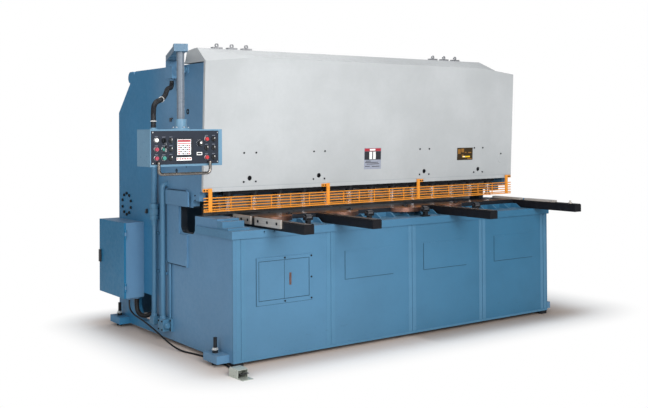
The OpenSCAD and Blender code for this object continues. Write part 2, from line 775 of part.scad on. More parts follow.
module cabinet_handle() color(near_black) place() {
    x0 = cab_x - cab_d;
    y = cab_y1 - 28;
    z = cab_z0 + 272;
    bar_x([x0 - 6, y, z], 8, 18);
    block([x0 - 14, y - 14, z - 46], [x0 - 3, y + 14, z + 46]);
}

// ---------------------------------------------------------------- pendant

module pendant_bracket() color(pale_blue) place() difference() {
    union() {
        block([-half_w - 84, 668, side_top - 92], [-half_w, 778, side_top - 12]);
        translate([hinge_x - 30, hinge_y - 30, side_top - 13])
            cube([60, 60, hinge_z - seat_gap - side_top + 13]);
        translate([hinge_x, hinge_y, side_top]) cylinder(r = 20, h = hinge_z + 40 - side_top);
        // gland of the conduit
        translate([hinge_x, hinge_y, side_top - 104]) cylinder(r = 20, h = 13);
    }
    translate([hinge_x, hinge_y, side_top - 105]) cylinder(r = 12, h = 30);
}

module pendant_arm() color(pale_blue) place() {
    difference() {
        union() {
            translate([hinge_x, hinge_y, hinge_z]) rotate(arm_dir)
                translate([-50, -37, 0]) cube([arm_len + 50, 74, 39]);
            translate([pole_x, pole_y, hinge_z - 3]) rotate(arm_dir)
                translate([-42, -42, 0]) cube([84, 84, 45]);
            translate([pole_x, pole_y, box_z0 + box_h + 11])
                cylinder(r = pipe_r, h = hinge_z - box_z0 - box_h);
        }
        translate([hinge_x, hinge_y, hinge_z - 1]) cylinder(r = 20 + run_gap, h = 45);
    }
}

module panel_holes(extra) {
    for (p = controls())
        bar_y([p[0], face_y - 20, p[1]], p[2] + extra, 60);
}

// Centre of every turning or pressed control on the face, as X, Z and stem radius
function controls() = [
    for (z = [102, 50]) [box_x0 + 38, box_z0 + z, 6],
    for (z = [102, 50]) [box_x0 + 86, box_z0 + z, 6],
    [box_x0 + 86, box_z0 + 153, 6],
    for (z = [153, 102, 50]) [box_x0 + 132, box_z0 + z, 6],
    [box_x0 + box_w - 154, box_z0 + 135, 6],
    [box_x0 + box_w - 108, box_z0 + 107, 6],
    for (z = [160, 107, 50]) [box_x0 + box_w - 60, box_z0 + z, 6]
];

module pendant_box() color(pale_blue) place() difference() {
    union() {
        block([box_x0, box_y0, box_z0], [box_x0 + box_w, box_y1, box_z0 + box_h]);
        translate([pole_x, pole_y, box_z0 + box_h - 1]) cylinder(r = 53, h = 11);
        translate([pole_x, pole_y, box_z0 + box_h]) cylinder(r = pipe_r + 12, h = 62);
        translate([-1980, 10, box_z0 + box_h - 1]) cylinder(r = 20, h = 11);
    }
    block([box_x0 + 12, box_y0 - 1, box_z0 + 18], [box_x0 + box_w - 33, box_y1 - 3, box_z0 + box_h - 14]);
    translate([pole_x, pole_y, box_z0 + box_h + 10]) cylinder(r = pipe_r + run_gap, h = 70);
}

module control_panel() color(charcoal) place() difference() {
    union() {
        block([box_x0 + 6, face_y, box_z0 + 13], [box_x0 + box_w - 27, box_y0, box_z0 + box_h - 9]);
        // display housing, counter window and its lower key strip
        block([box_x0 + 163, face_y - 4, box_z0 + 60], [box_x0 + 270, face_y + 1, box_z0 + 167]);
        block([box_x0 + 163, face_y - 2, box_z0 + 32], [box_x0 + 270, face_y + 1, box_z0 + 56]);
        block([box_x0 + 298, face_y - 2, box_z0 + 60], [box_x0 + 340, face_y + 1, box_z0 + 86]);
    }
    panel_holes(seat_gap);
}

module push_button(i) {
    p = controls()[i];
    bar_y([p[0], face_y - 14, p[1]], 11, 9.7);
    bar_y([p[0], face_y - 5, p[1]], p[2], 25);
}

module selector(i) {
    p = controls()[i];
    bar_y([p[0], face_y - 6.3, p[1]], 13, 6);
    bar_y([p[0], face_y - 5, p[1]], p[2], 25);
    block([p[0] - 4, face_y - 16, p[1] - 12], [p[0] + 4, face_y - 6, p[1] + 12]);
}

module stop_button_upper() color([0.75, 0.1, 0.12]) place() push_button(0);
module stop_button_lower() color([0.75, 0.1, 0.12]) place() push_button(1);
module start_button_upper() color([0.1, 0.55, 0.45]) place() push_button(2);
module start_button_lower() color([0.1, 0.55, 0.45]) place() push_button(3);
module mode_selector_top() color(near_black) place() selector(5);
module mode_selector_middle() color(near_black) place() selector(6);
module mode_selector_bottom() color(near_black) place() selector(7);
module gauge_selector_inner() color(near_black) place() selector(9);
module gauge_selector_top() color(near_black) place() selector(10);
module gauge_selector_middle() color(near_black) place() selector(11);
module gauge_selector_bottom() color(near_black) place() selector(12);

module key_switch() color(chrome_grey) place() {
    p = controls()[4];
    bar_y([p[0], face_y - 8.3, p[1]], 12, 8);
    bar_y([p[0], face_y - 5, p[1]], p[2], 25);
    block([p[0] - 1.5, face_y - 30, p[1] - 9], [p[0] + 1.5, face_y - 8, p[1] + 9]);
}

module speed_knob() color(near_black) place() {
    p = controls()[8];
    bar_y([p[0], face_y - 18.3, p[1]], 14, 18);
    bar_y([p[0], face_y - 5, p[1]], p[2], 25);
}

module panel_lamps() color([0.9, 0.9, 0.88]) place()
    for (p = [[38, 156], [box_w - 108, 160], [box_w - 108, 50]])
        bar_y([box_x0 + p[0], face_y - 12, box_z0 + p[1]], 11, 12);

// Bent rail under the control face
module pendant_handle() color(chrome_grey) place() {
    r = 9;
    y = face_y - 21;
    bend = 24;
    z = box_z0 - 44;
    x0 = box_x0 + 45;
    x1 = box_x0 + box_w - 95;
    bar_x([x0 + bend, y, z], r, x1 - x0 - 2 * bend);
    for (s = [[x0 + bend, 180], [x1 - bend, 270]])
        translate([s[0], y, z + bend]) rotate([90, 0, 0])
            rotate([0, 0, s[1]]) rotate_extrude(angle = 90) translate([bend, 0]) circle(r);
    for (x = [x0, x1]) {
        translate([x, y, z + bend]) cylinder(r = r, h = 42);
        bar_y([x, y, z + bend + 42], r, 21);
        translate([x, y, z + bend + 42]) sphere(r = r);
    }
}

// ---------------------------------------------------------------- feet and foot switch

module levelling_bolts() color(near_black) place() both_sides() {
    for (y = [foot_front, foot_rear])
        translate([-half_w - 45, y, 0]) {
            cylinder(r = 22, h = 10);
            cylinder(r = 12, h = 173);
            translate([0, 0, 9]) cylinder(r = 20, h = floor_gap - 9, $fn = 6);
            translate([0, 0, floor_gap + 50]) cylinder(r = 20, h = 22, $fn = 6);
        }
    block([-half_w + 9, 0, 0], [-half_w + 72, 46, floor_gap]);
}

switch_at = [-1523, -218];
switch_turn = 3;

module at_switch() place() translate([switch_at[0], switch_at[1], 0]) rotate(switch_turn) children();

// Folded foot switch housing, open at the front over its base plate
module foot_switch() color([0.55, 0.58, 0.53]) at_switch() {
    block([-38, -78, 0], [38, 78, 4]);
    bar_y([0, 77, 26], 9, 9);
    difference() {
        along_x(-36, 72) polygon([[-20, 3], [78, 3], [78, 44], [66, 56], [20, 58], [-20, 52]]);
        along_x(-33, 66) polygon([[-21, 4], [40, 4], [40, 54], [20, 55], [-21, 49]]);
        bar_x([-40, 24, 12], 3.05, 80);
    }
}

module foot_pedal() color(near_black) at_switch() {
    bar_x([-35.5, 24, 12], 3, 71);
    along_x(-28, 56) polygon([
        [30, 8], [30, 18], [-30, 34], [-44, 33], [-44, 30], [-30, 31], [18, 12], [20, 8]
    ]);
}

// ---------------------------------------------------------------- cords

// Points of a smooth curve through the route, n steps from one point to the next
function route_curve(p, n) = [
    for (i = [0 : len(p) - 2], k = [0 : n - 1])
        let (t = k / n,
             a = p[max(i - 1, 0)], b = p[i], c = p[i + 1], d = p[min(i + 2, len(p) - 1)])
        0.5 * (2 * b + t * (c - a) + t * t * (2 * a - 5 * b + 4 * c - d)
               + t * t * t * (3 * b - a - 3 * c + d)),
    p[len(p) - 1]
];

function unit(v) = v / norm(v);
function heading(c, i) = unit(c[min(i + 1, len(c) - 1)] - c[max(i - 1, 0)]);
function ring(c, i, r, across, sides) =
    let (h = heading(c, i),
         u = unit(cross(across, h)),
         v = cross(h, u))
    [for (k = [0 : sides - 1]) c[i] + r * cos(360 * k / sides) * u + r * sin(360 * k / sides) * v];

// A tube along a route that stays clear of the direction "across"
module tube(route, r, steps, across, sides = 8) {
    c = route_curve(route, steps);
    n = len(c);
    pts = [for (i = [0 : n - 1]) each ring(c, i, r, across, sides)];
    walls = [
        for (i = [0 : n - 2], k = [0 : sides - 1])
            each [
                [i * sides + k, (i + 1) * sides + k, (i + 1) * sides + (k + 1) % sides],
                [i * sides + k, (i + 1) * sides + (k + 1) % sides, i * sides + (k + 1) % sides]
            ]
    ];
    polyhedron(
        points = pts,
        faces = concat(
            walls,
            [[for (k = [0 : sides - 1]) k]],
            [[for (k = [sides - 1 : -1 : 0]) (n - 1) * sides + k]]
        )
    );
}

// From the cabinet's floor down to the ground, along the side frame and into the foot switch
foot_route = [
    [-1555, 1335, 248], [-1555, 1335, 230], [-1555, 1335, 212], [-1555, 1330, 193],
    [-1555, 1312, 172], [-1556, 1255, 152], [-1557, 1170, 140], [-1560, 1080, 132],
    [-1562, 990, 118], [-1560, 900, 100], [-1556, 810, 76], [-1545, 720, 46],
    [-1528, 640, 20], [-1508, 560, 7], [-1488, 480, 7], [-1472, 400, 7], [-1462, 310, 7],
    [-1459, 220, 7], [-1459, 130, 7], [-1464, 50, 7], [-1480, -15, 7], [-1502, -60, 10],
    [-1518, -82, 17], [-1526, -98, 24], [-1528.6, -110, 26], [-1528, -121, 26], [-1527.4, -132, 26]
];

// From the box top, back and up to the bracket, on the arm's pivot axis at its end
conduit_route = [
    [-1980, 10, 1500], [-1980, 10, 1522], [-1978, 14, 1556], [-1972, 26, 1594], [-1955, 54, 1629],
    [-1922, 98, 1652], [-1882, 150, 1664], [-1803, 260, 1681], [-1714, 400, 1712],
    [-1632, 540, 1752], [-1575, 630, 1768], [-1535, 690, 1774], [-1510, 725, 1785],
    [-1500, 740, 1804], [-1500, 740, 1826]
];

// From the cabinet's floor in a loop through the arch of the side frame to the oil tank
hose_route = [
    [-1490, 1350, 248], [-1490, 1350, 215], [-1490, 1345, 178], [-1486, 1328, 146],
    [-1472, 1305, 128], [-1450, 1285, 124], [-1425, 1262, 135], [-1398, 1240, 155],
    [-1372, 1215, 182], [-1355, 1192, 200], [-1350, 1178, 205], [-1350, 1165, 205]
];

module foot_cable() color(near_black) place() tube(foot_route, 6, 2, [1, 0, 0]);
module pendant_conduit() color(near_black) place() tube(conduit_route, 15, 1, [0.9, -0.42, 0]);
module cabinet_hose() color(near_black) place() tube(hose_route, 17, 1, [0.7, 0.7, 0]);

side_frame_left();
side_frame_right();
bed_frame();
front_covers();
table_plate();
lower_blade();
beam_cover();
top_cap();
hold_down_beam();
hold_down_cylinders();
finger_guard();
support_arms();
arm_fences();
ball_units();
pivot_pins();
main_cylinders();
levelling_bolts();
rear_crossbeams();
sheet_chute();
oil_tank();
pump_motor();
valve_block();
side_pipes();
cabinet_body();
control_gear();
pendant_bracket();
top_fittings();
swing_beam();
upper_blade();
gauge_rails();
main_rams();
hold_down_plungers();
gauge_bar();
gauge_screw_left();
gauge_screw_right();
cabinet_door();
cabinet_handle();
pendant_arm();
pendant_box();
control_panel();
pendant_handle();
panel_lamps();
stop_button_upper();
stop_button_lower();
start_button_upper();
start_button_lower();
key_switch();
mode_selector_top();
mode_selector_middle();
mode_selector_bottom();
speed_knob();
gauge_selector_inner();
gauge_selector_top();
gauge_selector_middle();
gauge_selector_bottom();
foot_switch();
foot_pedal();
foot_cable();
pendant_conduit();
cabinet_hose();
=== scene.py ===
"""Hydraulic swing beam shear: finishes, fasteners, cords, control face and a plain studio."""

import json
import math

import bpy
from mathutils import Matrix, Vector

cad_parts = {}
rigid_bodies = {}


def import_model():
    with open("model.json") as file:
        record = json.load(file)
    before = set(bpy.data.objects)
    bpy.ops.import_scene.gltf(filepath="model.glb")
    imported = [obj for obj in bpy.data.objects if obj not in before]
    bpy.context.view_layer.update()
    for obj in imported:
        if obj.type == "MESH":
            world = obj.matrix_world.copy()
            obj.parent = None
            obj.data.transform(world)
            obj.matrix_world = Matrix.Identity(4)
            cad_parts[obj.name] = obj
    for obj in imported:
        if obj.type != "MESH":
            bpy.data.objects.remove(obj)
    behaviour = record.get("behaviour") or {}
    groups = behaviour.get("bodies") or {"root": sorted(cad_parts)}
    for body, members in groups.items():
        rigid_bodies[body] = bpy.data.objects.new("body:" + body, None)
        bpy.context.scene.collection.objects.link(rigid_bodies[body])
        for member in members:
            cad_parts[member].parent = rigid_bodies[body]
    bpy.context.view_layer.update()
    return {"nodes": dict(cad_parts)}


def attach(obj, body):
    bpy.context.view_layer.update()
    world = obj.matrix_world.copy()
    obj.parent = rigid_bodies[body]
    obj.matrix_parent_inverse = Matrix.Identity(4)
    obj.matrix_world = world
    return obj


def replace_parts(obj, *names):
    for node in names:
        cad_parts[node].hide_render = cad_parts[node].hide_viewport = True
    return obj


bl_info = {
    "name": "Hydraulic Shear",
    "version": (1, 0, 0),
    "blender": (4, 5, 0),
    "location": "3D View > Sidebar > Shear",
    "description": "Dresses the CAD frame of a hydraulic plate shear and sets up its studio",
    "category": "Object",
}

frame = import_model()
NODES = frame["nodes"]


def limits(name):
    """The lowest and the highest corner of a CAD part, in millimetres of the shared frame."""
    columns = list(zip(*(vertex.co for vertex in NODES[name].data.vertices)))
    return [[round(end(column) * 1000.0, 1) for column in columns] for end in (min, max)]


COVER_LOW, COVER_HIGH = limits("beam_cover")
BOX_LOW, BOX_HIGH = limits("pendant_box")
PINS_LOW, PINS_HIGH = limits("pivot_pins")

# The machine's own axes, in millimetres: X = 0 in its middle, Y = 0 on the apron, Z = 0 on the
# floor. The doors stand out from the apron.
DOOR_STANDS_OUT = 3.0
SHIFT_X = (COVER_LOW[0] + COVER_HIGH[0]) / 2
SHIFT_Y = limits("front_covers")[0][1] + DOOR_STANDS_OUT

# Sizes and places of the machine: half its width over the frames, the inner face of a frame, the
# table, the cover's lower edge and lean, the arm's underside, the cylinders, the beam's pivot and
# the pendant's box with its control face
HALF_W = (COVER_HIGH[0] - COVER_LOW[0]) / 2
INNER_X = HALF_W - 50.0
TABLE_H = limits("table_plate")[1][2]
COVER_Z = COVER_LOW[2]
COVER_Y = 385.0
COVER_LEAN = math.radians(2.6)
ARM_Z = 1950.0
CYLINDER_X = 1290.0
PIVOT_FLANGE = 100.0
PIVOT_Y = (PINS_LOW[1] + PINS_HIGH[1]) / 2 - SHIFT_Y
PIVOT_Z = PINS_LOW[2] + PIVOT_FLANGE
BOX_X0 = BOX_LOW[0] - SHIFT_X
BOX_Z0 = BOX_LOW[2]
BOX_W = BOX_HIGH[0] - BOX_LOW[0]
PANEL_THICK = 3.0
FACE_Y = BOX_LOW[1] - SHIFT_Y - PANEL_THICK

UP, LEFT, FORWARD, BACKWARD = (0, 0, 1), (-1, 0, 0), (0, -1, 0), (0, 1, 0)
SIDES = (-1, 1)


def at(x, y, z):
    """A point of the machine, in metres in the shared frame."""
    return Vector((x + SHIFT_X, y + SHIFT_Y, z)) / 1000.0


def circle(count, start=0.0):
    """Cosine and sine of even steps round a circle, from a start angle in degrees."""
    angles = [math.radians(start + 360 / count * k) for k in range(count)]
    return [(math.cos(a), math.sin(a)) for a in angles]


# cosine and sine of a bend's steps, from 0 to 90 degrees
QUARTER = circle(24)[:7]


# ------------------------------------------------------------------ node trees


class Tree:
    """Adds nodes to a shader or geometry tree."""

    def __init__(self, tree):
        self.tree = tree

    def node(self, kind, settings=None, inputs=None):
        """A node of a type, with its settings set first and then its inputs."""
        n = self.tree.nodes.new(kind)
        for name, value in (settings or {}).items():
            setattr(n, name, value)
        for key, value in (inputs or {}).items():
            self.feed(n.inputs[key], value)
        return n

    def feed(self, socket, value):
        """Links a value's socket, or writes a plain number or colour."""
        if isinstance(value, Value):
            value = value.socket
        if isinstance(value, bpy.types.NodeSocket):
            self.tree.links.new(value, socket)
            return
        if isinstance(value, tuple) and socket.type == "RGBA":
            value = rgba(value)
        socket.default_value = value


def rgba(colour):
    return tuple(colour[:3]) + (1.0,)


class Value:
    """A number on a shader socket, which can be used in sums and products."""

    def __init__(self, tree, socket):
        self.tree = tree
        self.socket = socket

    def maths(self, operation, *parts):
        n = self.tree.node("ShaderNodeMath", {"operation": operation})
        for socket, part in zip(n.inputs, parts):
            self.tree.feed(socket, part)
        return Value(self.tree, n.outputs[0])

    def __add__(self, other):
        return self.maths("ADD", self, other)

    __radd__ = __add__

    def __sub__(self, other):
        return self.maths("SUBTRACT", self, other)

    def __rsub__(self, other):
        return self.maths("SUBTRACT", other, self)

    def __mul__(self, other):
        return self.maths("MULTIPLY", self, other)

    __rmul__ = __mul__

    def __pow__(self, other):
        return self.maths("POWER", self, other)

    def over(self, other):
        return self.maths("GREATER_THAN", self, other)

    def most(self, other):
        return self.maths("MAXIMUM", self, other)

    def ease(self, low, high, to_low=0.0, to_high=1.0):
        """Runs smoothly from to_low to to_high as the value goes from low to high."""
        n = self.tree.node(
            "ShaderNodeMapRange",
            {"interpolation_type": "SMOOTHSTEP", "clamp": True},
            {"Value": self, "From Min": low, "From Max": high, "To Min": to_low, "To Max": to_high},
        )
        return Value(self.tree, n.outputs[0])


class Finish(Tree):
    """A material under construction, on Object coordinates in metres."""

    def __init__(self, name):
        self.material = bpy.data.materials.new(name)
        self.material.use_nodes = True
        super().__init__(self.material.node_tree)
        self.tree.nodes.clear()
        self.coords = self.node("ShaderNodeTexCoord").outputs["Object"]
        parts = self.node("ShaderNodeSeparateXYZ", None, {"Vector": self.coords})
        self.x, self.y, self.z = (Value(self, parts.outputs[k]) for k in range(3))
        facing = self.node("ShaderNodeSeparateXYZ", None,
                           {"Vector": self.node("ShaderNodeNewGeometry").outputs["Normal"]})
        self.up = Value(self, facing.outputs[2])

    def within(self, half, deep, high):
        """1 inside a box of the machine: its half width, and its limits in Y and Z, in metres."""
        x = self.x - SHIFT_X / 1000.0
        share = x.maths("ABSOLUTE", x).ease(half - 0.002, half, 1.0, 0.0)
        for value, (low, top) in ((self.y - SHIFT_Y / 1000.0, deep), (self.z, high)):
            share = share * value.ease(low, low + 0.008) * value.ease(top - 0.008, top, 1.0, 0.0)
        return share

    def noise(self, scale, detail=3.0, roughness=0.55, stretch=None):
        coords = self.coords
        if stretch:
            coords = self.node("ShaderNodeMapping", {"vector_type": "POINT"},
                               {"Vector": coords, "Scale": stretch}).outputs[0]
        n = self.node("ShaderNodeTexNoise", None,
                      {"Vector": coords, "Scale": scale, "Detail": detail, "Roughness": roughness})
        return Value(self, n.outputs["Fac"])

    def mix(self, factor, a, b):
        n = self.node("ShaderNodeMix", {"data_type": "RGBA", "clamp_factor": True})
        self.feed(n.inputs[0], factor)
        self.feed(n.inputs[6], a)
        self.feed(n.inputs[7], b)
        return n.outputs[2]

    def bump(self, height, distance, strength):
        n = self.node("ShaderNodeBump", None,
                      {"Height": height, "Distance": distance, "Strength": strength})
        return n.outputs[0]

    def finish(self, colour, roughness, metallic, normal, **more):
        inputs = {"Base Color": colour, "Roughness": roughness, "Metallic": metallic, "Normal": normal}
        inputs.update({key.replace("_", " "): value for key, value in more.items()})
        shader = self.node("ShaderNodeBsdfPrincipled", None, inputs)
        out = self.node("ShaderNodeOutputMaterial")
        self.feed(out.inputs["Surface"], shader.outputs[0])
        return self.material


# ------------------------------------------------------------------ finishes


def shade(colour, k):
    return tuple(min(1.0, c * k) for c in colour)


def tint(colour, factors):
    """A colour with each channel scaled on its own."""
    return tuple(min(1.0, c * k) for c, k in zip(colour, factors))


def machine_paint(name, colour, roughness=0.36, wear=0.5, chip=(0.16, 0.17, 0.18), throat=False,
                  pole=None, rear=None, east=None):
    """Sprayed machine enamel: slow tone changes, orange peel, dust on top, scuffs near the floor.

    rear and east are darker tones that it runs to at the back and at the right-hand end, partly the
    paint's own tone and partly painted shade; pole is the tone below the arm, and throat paints shade
    near black on the inside round the throats.
    """
    f = Finish(name)
    tone = f.noise(2.2, 4.0)
    fine = f.noise(38.0, 5.0)

    def clouded(paint):
        return f.mix(tone.ease(0.3, 0.72), shade(paint, 0.93), shade(paint, 1.06))

    base = clouded(colour)
    # partly the paint's own tone and partly painted shade: darker tones towards the back and the right-hand
    # end
    if rear:
        base = f.mix(f.y.ease(0.2, 0.6), base, clouded(rear))
    if east:
        base = f.mix(f.x.ease(-1.0, 1.4), base, clouded(east))
    base = f.mix(fine.ease(0.35, 0.8) * 0.12, base, shade(colour, 0.8))
    dust = f.up.ease(0.75, 0.98) * fine.ease(0.4, 0.75)
    base = f.mix(dust * 0.16, base, (0.62, 0.6, 0.55))
    low = f.z.ease(0.02, 0.34, 1.0, 0.0)
    scuff = f.noise(26.0, 8.0, 0.7, (1.0, 1.0, 2.6)).ease(0.6, 0.68) * low
    base = f.mix(scuff * wear, base, shade(colour, 0.45))
    nick = f.noise(95.0, 2.0, 0.5).ease(0.745, 0.76) * (0.4 + low * 0.6)
    base = f.mix(nick * wear, base, chip)
    streak = f.noise(3.0, 3.0, 0.5, (7.0, 7.0, 0.5)).ease(0.62, 0.8) * (1.0 - f.up.ease(0.3, 0.6))
    base = f.mix(streak * 0.10, base, shade(colour, 0.72))
    if throat:
        # painted shade, near black, between the frames' outer faces where the throats show the inside
        deep, high = (0.42, 1.7435), (0.6, 0.978)
        inside = f.within(HALF_W / 1000.0 - 0.0015, deep, high)
        base = f.mix(inside * 0.96, base, (0.006, 0.007, 0.009))
    if pole:
        base = f.mix(f.z.ease(ARM_Z / 1000.0, ARM_Z / 1000.0 + 0.008, 1.0, 0.0), base, pole)
    peel = f.noise(420.0, 2.0, 0.5) + tone * 0.6
    rough = fine.ease(0.3, 0.7, roughness - 0.05, roughness + 0.09) + dust * 0.2 + scuff * 0.2
    return f.finish(base, rough, 0.0, f.bump(peel, 0.00035, 0.35), Coat_Weight=0.08,
                    Coat_Roughness=0.22, Specular_IOR_Level=0.25)


def ground_steel(name, colour, direction, oil=0.5, metal=0.9, behind=None):
    """Ground plate with grinding marks along one axis, oil film and a few brown stains."""
    f = Finish(name)
    marks = f.noise(6.0, 6.0, 0.75, direction)
    cloud = f.noise(7.0, 4.0, 0.6)
    spots = f.noise(60.0, 5.0, 0.65)
    base = f.mix(marks.ease(0.3, 0.7), shade(colour, 0.8), shade(colour, 1.12))
    base = f.mix(cloud.ease(0.5, 0.78) * oil, base, (0.2, 0.17, 0.13))
    if behind:
        # the rear strip is plain and dark: only the tongues are worn brown
        base = f.mix(f.y.ease(-0.5, -0.47), base, behind)
    base = f.mix(spots.ease(0.66, 0.74) * 0.4, base, (0.22, 0.12, 0.07))
    rough = marks.ease(0.2, 0.8, 0.24, 0.44) + cloud.ease(0.5, 0.8) * 0.12
    return f.finish(base, rough, metal, f.bump(marks, 0.0003, 0.4))


def polished_steel(name, colour=(0.78, 0.78, 0.8), roughness=0.12):
    """Hard chrome or plated steel with light handling marks."""
    f = Finish(name)
    smear = f.noise(24.0, 4.0, 0.6)
    fine = f.noise(300.0, 3.0)
    base = f.mix(smear.ease(0.45, 0.8) * 0.35, colour, shade(colour, 0.72))
    rough = smear.ease(0.3, 0.8, roughness, roughness + 0.16) + fine * 0.04
    return f.finish(base, rough, 1.0, f.bump(fine, 0.0001, 0.2))


def dark_steel(name, colour=(0.045, 0.045, 0.05), roughness=0.42, bare=(0.3, 0.29, 0.28)):
    """Black oxide or black enamel over steel, rubbed bright in small patches."""
    f = Finish(name)
    patch = f.noise(30.0, 6.0, 0.7)
    fine = f.noise(260.0, 3.0)
    base = f.mix(patch.ease(0.4, 0.8), shade(colour, 0.8), shade(colour, 1.5))
    base = f.mix(patch.ease(0.72, 0.8) * 0.3, base, bare)
    dust = f.up.ease(0.8, 0.98) * fine.ease(0.4, 0.7)
    base = f.mix(dust * 0.05, base, (0.4, 0.38, 0.35))
    rough = fine.ease(0.3, 0.7, roughness - 0.07, roughness + 0.1)
    return f.finish(base, rough, 0.0, f.bump(fine + patch, 0.0003, 0.3), Specular_IOR_Level=0.2)


def mill_sheet(name, colour=(0.56, 0.57, 0.58)):
    """Plain rolled sheet with slide marks."""
    f = Finish(name)
    roll = f.noise(5.0, 5.0, 0.7, (14.0, 1.0, 1.0))
    cloud = f.noise(9.0, 5.0, 0.6)
    base = f.mix(roll.ease(0.3, 0.75), shade(colour, 0.8), shade(colour, 1.08))
    base = f.mix(cloud.ease(0.55, 0.8) * 0.3, base, (0.25, 0.22, 0.19))
    return f.finish(base, roll.ease(0.2, 0.8, 0.34, 0.52), 0.85, f.bump(roll, 0.0003, 0.3))


def moulded_plastic(name, colour, roughness=0.34, grain=900.0):
    """Moulded plastic with a fine grain and finger marks."""
    f = Finish(name)
    cloud = f.noise(60.0, 4.0)
    fine = f.noise(grain, 2.0)
    base = f.mix(cloud.ease(0.3, 0.75), shade(colour, 0.88), shade(colour, 1.1))
    return f.finish(base, cloud.ease(0.3, 0.8, roughness - 0.05, roughness + 0.1), 0.0,
                    f.bump(fine, 0.0001, 0.25), Coat_Weight=0.1)


def cable_rubber(name, colour, roughness=0.5):
    """Extruded rubber with dust and scuffs."""
    f = Finish(name)
    scuff = f.noise(70.0, 5.0, 0.7)
    fine = f.noise(600.0, 2.0)
    base = f.mix(scuff.ease(0.5, 0.85) * 0.16, colour, (0.16, 0.155, 0.15))
    return f.finish(base, scuff.ease(0.3, 0.8, roughness - 0.08, roughness + 0.14), 0.0,
                    f.bump(fine, 0.0002, 0.3), Specular_IOR_Level=0.3)


def printed_field(name, colour, roughness=0.4):
    """A printed or painted area, slightly uneven in tone."""
    f = Finish(name)
    cloud = f.noise(45.0, 4.0)
    base = f.mix(cloud.ease(0.3, 0.75), shade(colour, 0.93), shade(colour, 1.05))
    return f.finish(base, cloud.ease(0.3, 0.8, roughness - 0.04, roughness + 0.08), 0.0,
                    f.bump(f.noise(500.0, 2.0), 0.0001, 0.15), Specular_IOR_Level=0.25)


def lamp_lenses(name):
    """Signal lamps: white in the left half of the box, red in the right."""
    f = Finish(name)
    cloud = f.noise(120.0, 3.0)
    red_side = f.x.over((BOX_X0 + 200 + SHIFT_X) / 1000.0)
    pale = f.mix(cloud.ease(0.3, 0.7), (0.78, 0.78, 0.74), (0.9, 0.9, 0.87))
    red = f.mix(cloud.ease(0.3, 0.7), (0.36, 0.022, 0.03), (0.52, 0.045, 0.05))
    return f.finish(f.mix(red_side, pale, red), cloud.ease(0.3, 0.7, 0.12, 0.24), 0.0,
                    f.bump(f.noise(700.0, 2.0), 0.0001, 0.3), Coat_Weight=0.5)


def foot_switch_paint(name, colour):
    """Hammered grey-green enamel, rubbed darker in patches."""
    f = Finish(name)
    hammer = f.noise(220.0, 2.0, 0.5)
    patch = f.noise(34.0, 5.0, 0.7)
    base = f.mix(hammer.ease(0.3, 0.7), shade(colour, 0.86), shade(colour, 1.14))
    base = f.mix(patch.ease(0.62, 0.7) * 0.6, base, (0.24, 0.23, 0.2))
    return f.finish(base, hammer.ease(0.3, 0.7, 0.3, 0.46), 0.3, f.bump(hammer, 0.0006, 0.5))


FINISHES = {}


